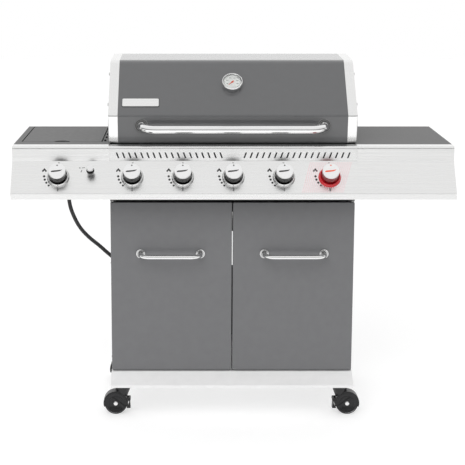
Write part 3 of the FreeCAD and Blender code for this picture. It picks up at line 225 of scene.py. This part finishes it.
POWDER = finish_material("powder_grey", (0.140, 0.141, 0.146), 0.36, size=40, change=0.03, rough_change=0.03,
                         bump=0.10, bump_size=0.0001, coat=0.3, coat_rough=0.2)
# The lid wears the doors' grey paint made darker: painted shade, offsetting the extra light that falls on its
# upward slope.
SHADED_LID_PAINT = finish_material("lid_grey_painted_shade", (0.088, 0.089, 0.092), 0.30, size=40, change=0.02, rough_change=0.015,
                            bump=0.02, bump_size=0.00001, coat=1.0, coat_rough=0.10)
SHELF = shelf_material()
HATCH_PAINT = finish_material("hatch_grey", PAINT_GREY, 0.6, size=60, change=0.05, bump=0.12,
                              bump_size=0.0001)
STEEL = brushed("brushed_steel", STEEL_GREY, 0.28, ACROSS)
STEEL_UP = brushed("brushed_steel_upright", (0.86, 0.86, 0.855), 0.20, UPWARD)
WHITE = finish_material("side_enamel", (0.80, 0.80, 0.80), 0.4, size=30, change=0.02, bump=0.08,
                        bump_size=0.0001)
BLACK = finish_material("black_enamel", (0.018, 0.018, 0.019), 0.45, size=80, change=0.15, bump=0.2)
CHROME = finish_material("chrome", (0.86, 0.86, 0.86), 0.10, metal=1.0, size=20, change=0.02,
                         rough_change=0.03)
PLAIN = finish_material("plain_steel", (0.55, 0.55, 0.54), 0.38, metal=1.0, size=60, change=0.10,
                        rough_change=0.08, bump=0.15)
IRON = finish_material("cast_iron", (0.03, 0.03, 0.03), 0.55, size=200, change=0.3, bump=0.5,
                       bump_size=0.0004)
CAST = finish_material("cast_aluminium", (0.55, 0.55, 0.55), 0.5, metal=1.0, size=250, change=0.1,
                       bump=0.4, bump_size=0.0002)
BRASS = finish_material("brass", (0.72, 0.52, 0.22), 0.28, metal=1.0, size=80, change=0.08)
RUBBER = finish_material("rubber", (0.016, 0.016, 0.017), 0.5, size=150, change=0.25, bump=0.3)
PLASTIC = finish_material("black_plastic", (0.014, 0.014, 0.015), 0.34, size=200, change=0.2, bump=0.15)
GLOSS = finish_material("gloss_black", (0.01, 0.01, 0.01), 0.12, size=60, change=0.2, rough_change=0.03,
                        coat=0.4, coat_rough=0.05)
RED = finish_material("gloss_red", (0.55, 0.012, 0.02), 0.22, size=60, change=0.08, rough_change=0.03,
                      coat=0.5, coat_rough=0.08)
RED_DEEP = finish_material("deep_red", (0.20, 0.004, 0.006), 0.25, size=60, change=0.1, rough_change=0.03,
                           coat=0.4, coat_rough=0.08)
BEZEL_STEEL = finish_material("bezel_steel", (0.52, 0.52, 0.52), 0.16, metal=1.0, size=60, change=0.05,
                              rough_change=0.04)
# Chrome made dark for the handle rosettes: painted dark reflection, standing for the dark paint mirrored in
# their dished faces.
CHROME_PAINTED_DARK = finish_material("chrome_painted_dark_reflection", (0.30, 0.30, 0.30), 0.18, metal=1.0, size=60, change=0.05,
                              rough_change=0.04)
CAP = finish_material("satin_cap", (0.93, 0.93, 0.93), 0.34, metal=1.0, size=300, change=0.03, bump=0.1)
DIAL = finish_material("dial_white", (0.85, 0.85, 0.83), 0.5, size=200, change=0.02)
INK = finish_material("print_black", (0.02, 0.02, 0.02), 0.5, size=300, change=0.2)
INK_GREY = finish_material("print_grey", (0.16, 0.16, 0.16), 0.5, size=300, change=0.2)
INK_RED = finish_material("print_red", (0.75, 0.10, 0.03), 0.5, size=300, change=0.1)
INK_PINK = finish_material("print_pink", (0.80, 0.60, 0.62), 0.45, size=300, change=0.04)


def make_glass():
    material = bpy.data.materials.new("clear_glass")
    tree, shader = nodes_of(material)
    shader.inputs["Base Color"].default_value = (0.97, 0.98, 0.98, 1)
    shader.inputs["Transmission Weight"].default_value = 1.0
    shader.inputs["IOR"].default_value = 1.3
    tree.links.new(spread(tree, noise(tree, (1, 1, 1), 120), 0.0, 0.04), shader.inputs["Roughness"])
    return material


GLASS = make_glass()
hose.data.materials.append(RUBBER)

CAD_SHARP = 28                            # degrees, past which a CAD node's edge is shaded sharp
PIECE_SHARP = 30                          # and the same for a piece made here
CORNERS = ("front_left", "front_right", "back_left", "back_right")
DRESS = {
    POWDER: ["door_left", "door_right"],
    SHADED_LID_PAINT: ["lid_skin"],
    SHELF: ["shelf_left", "shelf_right"],
    HATCH_PAINT: ["side_burner_lid"],
    STEEL: ["control_panel", "shelf_front_left", "shelf_front_right"],
    STEEL_UP: ["lid_end_cap_left", "lid_end_cap_right"],
    WHITE: ["side_panel_left", "side_panel_right", "base_tray"],
    BLACK: ["back_panel", "front_header", "firebox", "side_burner_well"],
    PLAIN: ["lid_hinge_pins", "door_hinge_pins", "caster_plates", "burners", "heat_plates",
            "gas_manifold", "grease_tray", "grease_cup"],
    CHROME: ["warming_rack"],
    IRON: ["cooking_grates", "side_burner_grate"],
    CAST: ["side_burner", "gas_regulator"],
    BRASS: ["hose_fitting"],
    RUBBER: ["hose_grommet"],
    GLASS: ["gauge_glass"],
    PLASTIC: ["brake_pedal_front_left", "brake_pedal_front_right"]
             + [f"caster_{part}_{corner}" for part in ("fork", "wheel") for corner in CORNERS],
}


def dress():
    for material, names in DRESS.items():
        for name in names:
            mesh = NODES[name].data
            mesh.materials.clear()
            mesh.materials.append(material)
            mesh.shade_smooth()
            mesh.set_sharp_from_angle(angle=math.radians(CAD_SHARP))


dress()


# ---------------------------------------------------------------- shapes, in millimetres

def on_face(place, normal, across=(1, 0, 0)):
    """Local axes at a place on a face: X across it, Y up it and Z out of it."""
    across, out = Vector(across), Vector(normal).normalized()
    turn = Matrix((across, out.cross(across), out)).transposed().to_4x4()
    return Matrix.Translation(Vector(place)) @ turn


def eased(corners, reach, loop=True):
    """An outline with each corner replaced by a short curve."""
    rounded = []
    for number, corner in enumerate(corners):
        if not loop and number in (0, len(corners) - 1):
            rounded.append(tuple(corner))
            continue
        here = Vector(corner)
        sides = [Vector(corners[number - 1]) - here, Vector(corners[(number + 1) % len(corners)]) - here]
        start, end = (here + side.normalized() * min(reach, side.length * 0.45) for side in sides)
        for share in (0, 0.25, 0.5, 0.75, 1):
            point = start * (1 - share) ** 2 + here * 2 * share * (1 - share) + end * share ** 2
            rounded.append(tuple(point))
    return rounded


def add_turned(shape, outline, where, ring=False, sides=56):
    """Turn an outline of (radius, height) about the local Z; a ring's outline closes on itself."""
    rows = []
    for radius, height in outline:
        count = sides if radius > 0 else 1
        rows.append([shape.verts.new(where @ Vector((radius * math.cos(math.tau * step / sides),
                                                     radius * math.sin(math.tau * step / sides), height)))
                     for step in range(count)])
    for low, high in zip(rows, rows[1:] + rows[:1] if ring else rows[1:]):
        if len(low) == len(high) == 1:
            continue
        for step in range(sides):
            after = (step + 1) % sides
            if len(low) == 1:
                shape.faces.new((low[0], high[after], high[step]))
            elif len(high) == 1:
                shape.faces.new((low[step], low[after], high[0]))
            else:
                shape.faces.new((low[step], low[after], high[after], high[step]))


def add_slab(shape, corners, low, high, where):
    """A flat shape with a small thickness, from one height to another."""
    rows = [[shape.verts.new(where @ Vector((x, y, height))) for x, y in corners] for height in (low, high)]
    shape.faces.new(rows[0][::-1])
    shape.faces.new(rows[1])
    for step in range(len(corners)):
        after = (step + 1) % len(corners)
        shape.faces.new((rows[0][step], rows[0][after], rows[1][after], rows[1][step]))


def add_tube(shape, path, radius, sides=24):
    """A round bar along a path in one plane, closed at both ends."""
    path = [Vector(point) for point in path]
    side = (path[1] - path[0]).cross(path[-1] - path[0]).normalized()
    rows = []
    for number, point in enumerate(path):
        ahead = path[min(number + 1, len(path) - 1)] - path[max(number - 1, 0)]
        other = ahead.normalized().cross(side)
        rows.append([shape.verts.new(point + radius * (side * math.cos(math.tau * step / sides)
                                                       + other * math.sin(math.tau * step / sides)))
                     for step in range(sides)])
    for low, high in zip(rows, rows[1:]):
        for step in range(sides):
            after = (step + 1) % sides
            shape.faces.new((low[step], low[after], high[after], high[step]))
    shape.faces.new(rows[0][::-1])
    shape.faces.new(rows[-1])


def make_piece(name, build, material, body, stands_for=()):
    """One piece from a function that fills a bmesh in millimetres."""
    shape = bmesh.new()
    build(shape)
    bmesh.ops.transform(shape, matrix=Matrix.Scale(MM, 4), verts=shape.verts)
    bmesh.ops.recalc_face_normals(shape, faces=shape.faces)
    mesh = bpy.data.meshes.new(name)
    shape.to_mesh(mesh)
    shape.free()
    mesh.materials.append(material)
    mesh.shade_smooth()
    mesh.set_sharp_from_angle(angle=math.radians(PIECE_SHARP))
    piece = link(bpy.data.objects.new(name, mesh))
    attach(piece, body)
    if stands_for:
        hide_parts(*stands_for)
    return piece


# ---------------------------------------------------------------- knobs and their printed marks

PANEL_NORMAL = (0, -0.81744, 0.57602)
PANEL_PLACE = (-228, 835.75)                 # Y and Z at the middle of the sloping panel
KNOB_X = {"knob_side": -572, "knob_1": -330, "knob_2": -165, "knob_3": 0, "knob_4": 165,
          "knob_sear": 314.5}

BEZEL = eased([(10, 0.05), (36.9, 0.05), (36.9, 1.2), (34.4, 6.2), (31, 6.2), (29.6, 1.6), (10, 1.6)], 0.9)
BEZEL_LIP = eased([(30.2, 5.4), (34.2, 5.4), (32.6, 11), (30.8, 11)], 0.8)
KNOB_BODY = eased([(0, 8), (24, 8), (24, 13), (27.2, 16), (27.2, 25), (25.6, 27), (25.6, 30), (27.2, 32),
                   (27.2, 44.4), (0, 44.4)], 1.0, loop=False)
KNOB_FACE = eased([(0, 44.4), (27.4, 44.4), (27.4, 49.2), (26.4, 50), (23.5, 49.6), (0, 49.4)], 0.8,
                  loop=False)
POINTER = [(-19.5, -3.4), (-18, -4.8), (-4, -3.4), (8, -1.6), (14, 1.4), (17.5, 5), (11.5, 3.6), (2, 2.2),
           (-15, 0.8), (-18.8, -0.8)]
CHEVRON = [(-8.4, -3.4), (0, 7.2), (8.4, -3.4), (4.6, -7), (0, -0.8), (-4.6, -7)]
DOTS = [(-46.2, 3.4, 3.9), (-43.6, -8.4, 3.8), (-38, -19.5, 3.6), (-30, -29.6, 3.4)]
PRINT = (0.02, 0.22)                         # a printed mark's lowest and highest point


def on_panel(x, up=0):
    return on_face((x, *PANEL_PLACE), PANEL_NORMAL) @ Matrix.Translation((0, up, 0))


def disc(radius, low, high):
    return [(0, low), (radius, low), (radius, high), (0, high)]


def printed(shape, where):
    """The marks beside a knob: a chevron and four shrinking dots."""
    add_slab(shape, CHEVRON, *PRINT, where @ Matrix.Translation((-46.2, 26, 0)))
    for x, y, radius in DOTS:
        add_turned(shape, disc(radius, *PRINT), where @ Matrix.Translation((x, y, 0)), sides=24)


def ticks(shape, where):
    """A wedge below a knob and a short bar above it."""
    add_slab(shape, [(-3.2, -38), (3.2, -38), (2.2, -50), (-2.2, -50)], *PRINT, where)
    add_slab(shape, [(-3, 51), (3, 51), (3, 53.4), (-3, 53.4)], *PRINT, where)


def make_knobs():
    for name, x in KNOB_X.items():
        where = on_panel(x)
        red = name == "knob_sear"
        body, slot = f"{name}_body", "knob_red" if red else "knob_black"
        make_piece(f"{name}_grip", lambda shape: add_turned(shape, KNOB_BODY, where),
                   RED_DEEP if red else GLOSS, body, [name])
        make_piece(f"{name}_face", lambda shape: add_turned(shape, KNOB_FACE, where), CAP, body,
                   [name])

        def pointer(shape):
            add_slab(shape, eased(POINTER, 1.2), 49.3, 49.75, where)
            add_turned(shape, disc(2.3, 49.3, 49.8), where @ Matrix.Translation((0, 19.5, 0)), sides=24)

        make_piece(f"{name}_pointer", pointer, INK_RED if red else INK, body)
        make_piece(f"{name}_bezel", lambda shape: add_turned(shape, BEZEL, where, ring=True),
                   RED if red else BEZEL_STEEL, "cart", ["knob_bezels"])
        make_piece(f"{name}_lip", lambda shape: add_turned(shape, BEZEL_LIP, where, ring=True),
                   RED if red else CHROME, "cart", ["knob_bezels"])
        make_piece(f"{name}_marks", lambda shape: printed(shape, where), INK, "cart")
        make_piece(f"{name}_ticks", lambda shape: ticks(shape, where), INK_GREY, "cart")


STRIPES = 22
STRIPE_FEET, STRIPE_TOPS = (224, 6.2), (254, 6.4)    # first X and step along the panel's low and high edge
STRIPE_HALF, STRIPE_END = 1.1, 55


def make_hatching():
    """Slanted thin stripes on the panel behind the red knob."""
    def stripes(shape):
        for number in range(STRIPES):
            low, high = (first + number * step for first, step in (STRIPE_FEET, STRIPE_TOPS))
            corners = [(low - STRIPE_HALF, -STRIPE_END), (low + STRIPE_HALF, -STRIPE_END),
                       (high + STRIPE_HALF, STRIPE_END), (high - STRIPE_HALF, STRIPE_END)]
            add_slab(shape, corners, *PRINT, on_panel(0))
    make_piece("panel_hatching", stripes, INK_PINK, "cart")


def make_igniter():
    where = on_panel(-466, 14)
    collar = eased([(7.1, 0.05), (9.5, 0.05), (13, 20), (13, 23.5), (11.8, 25), (7.1, 25)], 0.8)
    shank = [(0, -12), (7, -12), (7, 30.8), (10.6, 31.2), (10.6, 36), (0, 36)]
    head = eased([(0, 36), (11, 36), (11, 43), (9.8, 44), (0, 43.6)], 0.7, loop=False)
    make_piece("igniter_cone", lambda shape: add_turned(shape, collar, where, ring=True), GLOSS, "cart",
               ["igniter_collar"])
    make_piece("igniter_shank", lambda shape: add_turned(shape, shank, where), PLASTIC, "igniter",
               ["igniter_button"])
    make_piece("igniter_head", lambda shape: add_turned(shape, head, where), CHROME, "igniter",
               ["igniter_button"])

    def spark(shape):
        add_turned(shape, disc(2.2, *PRINT), on_panel(-502.5, 34), sides=24)
        add_slab(shape, [(-496, 32.8), (-486, 33.6), (-486, 36), (-496, 35.2)], *PRINT, on_panel(0))
        add_slab(shape, [(-499.5, 18), (-496, 18.6), (-494.6, 27), (-496.6, 26.6)], *PRINT, on_panel(0))
    make_piece("spark_mark", spark, INK_GREY, "cart")


make_knobs()
make_hatching()
make_igniter()


# ---------------------------------------------------------------- gauge and badge

GAUGE = on_face((0, -54.7, 1120.85), (0, -0.709, 0.705))
CUP = eased([(0, 0.05), (31, 0.05), (35, 9), (35, 17.2), (33.4, 20), (31.9, 20), (31.2, 18.6), (31.2, 12),
             (0, 12)], 0.9, loop=False)
DIAL_START, DIAL_SWEEP, DIAL_STEPS = 45, 270, 30     # degrees, degrees and the spaces between ticks
NUMERALS = ("100", "200", "300", "400", "500", "600")
NUMERAL_RADIUS, NUMERAL_SIZE = 18.5, 5.2


def around(radius, degrees):
    """A place on the dial, clockwise from straight down."""
    angle = math.radians(-90 - degrees)
    return radius * math.cos(angle), radius * math.sin(angle), angle


def numeral_mesh(text, size):
    """A number's flat shape as a mesh, centred on its own middle, one unit to the millimetre."""
    data = bpy.data.curves.new("numeral", "FONT")
    data.body = text
    data.size = size
    data.extrude = 0.05
    data.align_x, data.align_y = "CENTER", "CENTER"
    holder = bpy.data.objects.new("numeral", data)
    mesh = bpy.data.meshes.new_from_object(holder)
    bpy.data.objects.remove(holder)
    return mesh


def make_gauge():
    make_piece("gauge_cup", lambda shape: add_turned(shape, CUP, GAUGE), CHROME, "lid",
               ["gauge_housing"])
    make_piece("gauge_probe", lambda shape: add_turned(shape, disc(3.4, -60, 0.1), GAUGE), PLAIN, "lid",
               ["gauge_housing"])
    face = [(0, 12.02), (30.9, 12.02), (30.9, 12.7), (0, 13.0)]
    make_piece("gauge_dial", lambda shape: add_turned(shape, face, GAUGE), DIAL, "lid",
               ["gauge_housing"])

    def marks(shape):
        for number in range(DIAL_STEPS + 1):
            degrees = DIAL_START + number * (DIAL_SWEEP / DIAL_STEPS)
            long = number % 5 == 0
            x, y, angle = around(25.8 if long else 27, degrees)
            half = 2.6 if long else 1.4
            turn = GAUGE @ Matrix.Translation((x, y, 0)) @ Matrix.Rotation(angle, 4, "Z")
            add_slab(shape, [(-half, -0.35), (half, -0.35), (half, 0.35), (-half, 0.35)], 12.7, 13.06, turn)
        for number, text in enumerate(NUMERALS):
            x, y, _ = around(NUMERAL_RADIUS, DIAL_START + DIAL_SWEEP / len(NUMERALS) * (number + 0.5))
            word = numeral_mesh(text, NUMERAL_SIZE)
            word.transform(GAUGE @ Matrix.Translation((x, y, 13.05)))
            shape.from_mesh(word)
            bpy.data.meshes.remove(word)
    make_piece("gauge_marks", marks, INK, "lid")

    rim = eased([(30.2, 12.7), (31, 12.7), (31, 13.8), (30.2, 13.8)], 0.2)
    make_piece("gauge_ring", lambda shape: add_turned(shape, rim, GAUGE, ring=True), INK, "lid")

    hand = [(-1.5, 7), (1.5, 7), (2.2, 0), (0.6, -17.5), (-0.6, -17.5), (-2.2, 0)]
    turned = GAUGE @ Matrix.Rotation(math.radians(-45), 4, "Z")

    def needle(shape):
        add_slab(shape, hand, 14, 14.8, turned)
        add_turned(shape, eased(disc(3.2, 13.6, 16), 0.5, loop=False), turned, sides=32)
    make_piece("gauge_hand", needle, INK_RED, "needle", ["gauge_needle"])


def rounded_box(half_x, half_y, reach):
    return eased([(-half_x, -half_y), (half_x, -half_y), (half_x, half_y), (-half_x, half_y)], reach)


def make_badge():
    """A plain plate with a raised edge, with nothing on it."""
    where = on_face((-306, -109.5, 1065.7), (0, -0.709, 0.705))

    def plate(shape):
        add_slab(shape, rounded_box(60.5, 16, 4), 0.02, 2, where)
        outer, inner = rounded_box(60.5, 16, 4), rounded_box(58.3, 13.8, 3)
        rows = [[shape.verts.new(where @ Vector((x, y, height))) for x, y in line]
                for line, height in ((outer, 2.0), (outer, 2.7), (rounded_box(59.8, 15.3, 4), 3.0),
                                     (rounded_box(59.0, 14.5, 3.4), 3.0), (inner, 2.0))]
        for low, high in zip(rows, rows[1:]):
            for step in range(len(low)):
                after = (step + 1) % len(low)
                shape.faces.new((low[step], low[after], high[after], high[step]))
        for step in range(len(rows[0])):
            after = (step + 1) % len(rows[0])
            shape.faces.new((rows[-1][step], rows[-1][after], rows[0][after], rows[0][step]))
    make_piece("plain_badge", plate, STEEL, "lid", ["blank_badge"])

    # A black sheet just larger than the plate, under it: painted shade for the plate's shadow and dark
    # underside.
    def shade(shape):
        add_slab(shape, rounded_box(61.6, 17.1, 4.4), 0.01, 1.4, where)
    make_piece("badge_painted_shade", shade, PLASTIC, "lid", ["blank_badge"])


make_gauge()
make_badge()


# ---------------------------------------------------------------- handles and screws

ROSETTE = eased([(12.9, 0.02), (23, 0.02), (23, 4.4), (21.6, 6), (12.9, 6)], 0.7)
DOOR_ROSETTE = eased([(7.3, 0.02), (15, 0.02), (15, 2.6), (13.8, 4), (7.3, 4)], 0.5)
DISC_GLINT_RINGS = ((0.93, 0.045), (0.72, 0.03))   # each painted highlight ring's place and half width, in disc radii
RING_SUNK, RING_PROUD = 0.8, 0.2
BEND_STEPS = 16


def bow_path(middle, face, height, span, reach, bend, droop):
    """Out from a face, a little down, along X and back, with a quarter bend at each end."""
    points = [(middle - span, face + 1, height + droop)]
    for step in range(BEND_STEPS + 1):
        angle = math.radians(step * 90 / BEND_STEPS)
        points.append((middle - span + bend - bend * math.cos(angle),
                       face - reach + bend - bend * math.sin(angle), height + droop * (1 - math.sin(angle))))
    return points + [(2 * middle - x, y, z) for x, y, z in reversed(points)]


def make_bow(name, body, node, bow, tube, rosette, normal):
    """A bow handle from bow_path's sizes: the bar, a darkened chrome disc under each foot as painted dark
    reflection, and bright rings on the discs as painted highlights.
    """
    middle, face, height, span, _, _, droop = bow
    make_piece(f"{name}_bar", lambda shape: add_tube(shape, bow_path(*bow), tube), CHROME, body,
               [node])
    feet = [on_face((middle + sign * span, face, height + droop), normal) for sign in (-1, 1)]

    # The discs are made in darkened chrome: painted dark reflection.
    def discs(shape):
        for foot in feet:
            add_turned(shape, rosette, foot, ring=True)
    make_piece(f"{name}_rosettes", discs, CHROME_PAINTED_DARK, body, [node])

    edge, top = (max(values) for values in zip(*rosette))
    low, high = top - RING_SUNK, top + RING_PROUD

    # Raised chrome rings on the dark discs: painted highlights where the dished faces mirror light.
    def rings(shape):
        for foot in feet:
            for place, half in ((edge * share, edge * wide) for share, wide in DISC_GLINT_RINGS):
                add_turned(shape, [(place - half, low), (place + half, low), (place + half, high),
                                   (place - half, high)], foot, ring=True)
    make_piece(f"{name}_rings", rings, CHROME, body, [node])


make_bow("lid_grip", "lid", "lid_handle", (0, -140.7, 988, 302, 60, 48, 6), 13.25, ROSETTE,
         (0, -0.9918, 0.128))
for side, sign in (("left", -1), ("right", 1)):
    make_bow(f"door_grip_{side}", f"{side}_door", f"door_handle_{side}",
             (sign * 207, -164, 565, 100, 54, 32, 0), 7.5, DOOR_ROSETTE, (0, -1, 0))

SCREW = eased([(0, 0), (4.6, 0), (4.4, 1.6), (2.9, 2.7), (0, 3.0)], 0.6, loop=False)


def screws(name, body, places, normal, across, scale=1.0):
    """Low domed screw heads."""
    def heads(shape):
        for place in places:
            where = on_face(place, normal, across) @ Matrix.Scale(scale, 4)
            add_turned(shape, SCREW, where, sides=24)
    make_piece(name, heads, PLAIN, body)


for side, sign in (("left", -1), ("right", 1)):
    screws(f"end_cap_screws_{side}", "lid", [(sign * 413, 0, 1151), (sign * 413, -94, 1059)], (sign, 0, 0),
           (0, sign, 0), 1.3)
    screws(f"side_screws_{side}", "cart",
           [(sign * 408.5, y, z) for y in (-110, 240) for z in (190, 520, 820)], (sign, 0, 0), (0, sign, 0))
screws("back_screws", "cart", [(x, 266, z) for x in (-380, 0, 380) for z in (175, 405)], (0, 1, 0),
       (-1, 0, 0))


# ---------------------------------------------------------------- casters and seams

SHELF_TOP = 933
PLUGS_X, PLUGS_Y = -427, (-75, -3, 70)
AXLE_CAP = eased([(0, 1.9), (7.5, 1.9), (7.2, 3.6), (4.5, 5.2), (0, 5.6)], 0.8, loop=False)
CASTER_PLACES = {"front_left": (-396, -142), "front_right": (396, -142), "back_left": (-396, 225),
                 "back_right": (396, 225)}
AXLE_Z = 38
HOOD_HALF = 18                               # from the middle of the caster to a face of its hood
HOOD_RINGS = (36.5, 24, 12)
BRAKE_ARM = [(-13, 17), (-8, 20), (31, -10), (36, -17), (27, -19)]


def make_caster_details():
    """Axle caps, raised rings and a brake arm on the hood's faces."""
    for name, (x, y) in CASTER_PLACES.items():
        inward = 1 if x < 0 else -1
        faces = [on_face((x, y - HOOD_HALF, AXLE_Z), (0, -1, 0)),
                 on_face((x, y + HOOD_HALF, AXLE_Z), (0, 1, 0), (-1, 0, 0))]

        def caps(shape):
            for face in faces:
                add_turned(shape, AXLE_CAP, face, sides=32)
        make_piece(f"axle_caps_{name}", caps, CHROME, f"swivel_{name}")

        def rings(shape):
            for face in faces:
                for edge in HOOD_RINGS:
                    add_turned(shape, eased([(edge - 1.6, 0.01), (edge + 1.6, 0.01), (edge + 1, 1.3),
                                             (edge - 1, 1.3)], 0.4), face, ring=True, sides=48)
        make_piece(f"hood_rings_{name}", rings, PLASTIC, f"swivel_{name}")
        if name.startswith("front"):
            arm = eased([(inward * across, up) for across, up in BRAKE_ARM], 2.5)
            make_piece(f"brake_arm_{name}", lambda shape: add_slab(shape, arm, 1.4, 3.4, faces[0]), PLASTIC,
                       f"swivel_{name}")


TOP_BACKING = [(-160, 931.7), (-188, 931.7), (-192.7, 926), (-192.7, 884.4), (-191.4, 884.8), (-191.4, 925.4),
               (-187.5, 930.4), (-160, 930.4)]
SLOPE_BACKING = [(-192.7, 884.4), (-260.7, 787.9), (-260.7, 769), (-259.4, 769), (-259.4, 788.3),
                 (-191.4, 884.8)]


SEAM_LOW, SEAM_HIGH, SLOPE_HIGH = 404.5, 407.45, 410


def make_seams():
    """Steel strips behind the open joints between the control panel and the side shelves."""
    for side, sign in (("left", -1), ("right", 1)):
        where = on_face((0, 0, 0), (sign, 0, 0), (0, 1, 0))
        corners = [[(y, sign * z) for y, z in line] for line in (TOP_BACKING, SLOPE_BACKING)]

        def strip(shape):
            add_slab(shape, corners[0], SEAM_LOW, SEAM_HIGH, where)
            add_slab(shape, corners[1], SEAM_LOW, SLOPE_HIGH, where)
        make_piece(f"seam_strip_{side}", strip, STEEL, "cart")


def make_shelf_plugs():
    """Three dark screw heads in a row on the left shelf, between its hatch and the lid."""
    head = eased([(0, 0.02), (4, 0.02), (4, 3.6), (2.6, 5.8), (0, 6)], 0.5, loop=False)

    def plugs(shape):
        for y in PLUGS_Y:
            add_turned(shape, head, on_face((PLUGS_X, y, SHELF_TOP), (0, 0, 1)), sides=24)
    make_piece("shelf_plugs", plugs, PLASTIC, "cart")


make_caster_details()
make_seams()
make_shelf_plugs()


# ---------------------------------------------------------------- light and floor

def soft_light(name, place, aim, size, power):
    """A wide lamp that isn't mirrored in the steel."""
    data = bpy.data.lights.new(name, "AREA")
    data.shape = "RECTANGLE"
    data.size, data.size_y = size
    data.energy = power
    lamp = link(bpy.data.objects.new(name, data))
    lamp.location = place
    lamp.visible_glossy = False
    lamp.rotation_euler = (Vector(aim) - Vector(place)).to_track_quat("-Z", "Y").to_euler()


# height, from straight down at 0 to straight up at 1, and brightness
SKY = [(0.0, 0.22), (0.52, 0.15), (0.57, 0.20), (0.66, 0.66), (0.75, 0.90), (1.0, 0.92)]
BEHIND = 1.0                                # brightness of the backdrop's side of the studio


def make_world():
    """White behind the grill and to the camera; in front, a studio bright overhead and dim lower down."""
    world = bpy.data.worlds.new("studio")
    scene.world = world
    world.use_nodes = True
    tree = world.node_tree
    background = tree.nodes["Background"]
    where = tree.nodes.new("ShaderNodeTexCoord")
    parts = tree.nodes.new("ShaderNodeSeparateXYZ")
    tree.links.new(where.outputs["Generated"], parts.inputs["Vector"])
    ramp = tree.nodes.new("ShaderNodeValToRGB")
    tree.links.new(spread(tree, parts.outputs["Z"], 0, 1, -1, 1), ramp.inputs["Fac"])
    line = ramp.color_ramp.elements
    while len(line) < len(SKY):
        line.new(0.5)
    for mark, (place, level) in zip(line, SKY):
        mark.position = place
        mark.color = (level, level, level, 1)
    white = tree.nodes.new("ShaderNodeRGB")
    white.outputs[0].default_value = (BEHIND, BEHIND, BEHIND, 1)
    rays = tree.nodes.new("ShaderNodeLightPath")
    behind = spread(tree, parts.outputs["Y"], 0, 1, 0.05, 0.45)
    studio = mixed(tree, behind, ramp.outputs["Color"], white.outputs[0])
    tree.links.new(mixed(tree, rays.outputs["Is Camera Ray"], studio, white.outputs[0]),
                   background.inputs["Color"])
    background.inputs["Strength"].default_value = 1.0


FLOOR_GLOW = 0.45                           # keeps the pale floor pale under soft light
FLOOR_REACH = 14                            # metres from the middle to an edge
FLOOR_DROP = 0.0005


def make_floor():
    """A plain pale floor, the same to the camera and in reflections."""
    mesh = bpy.data.meshes.new("floor")
    mesh.from_pydata([(x * FLOOR_REACH, y * FLOOR_REACH, 0) for x, y in ((-1, -1), (1, -1), (1, 1), (-1, 1))],
                     [], [(0, 1, 2, 3)])
    floor = link(bpy.data.objects.new("floor", mesh))
    floor.location.z = -FLOOR_DROP
    material = bpy.data.materials.new("floor")
    tree, shader = nodes_of(material)
    pale = tint(tree, noise(tree, (1, 1, 1), 2), (0.59, 0.59, 0.59), (0.61, 0.61, 0.61))
    tree.links.new(pale, shader.inputs["Base Color"])
    shader.inputs["Roughness"].default_value = 0.8
    shader.inputs["Emission Color"].default_value = (1, 1, 1, 1)
    shader.inputs["Emission Strength"].default_value = FLOOR_GLOW
    mesh.materials.append(material)


make_world()
make_floor()
soft_light("key", place=(-1.2, -4.2, 3.8), aim=(0, 0, 0.6), size=(4, 3), power=120)
scene.view_settings.view_transform = "Standard"

bpy.context.view_layer.update()
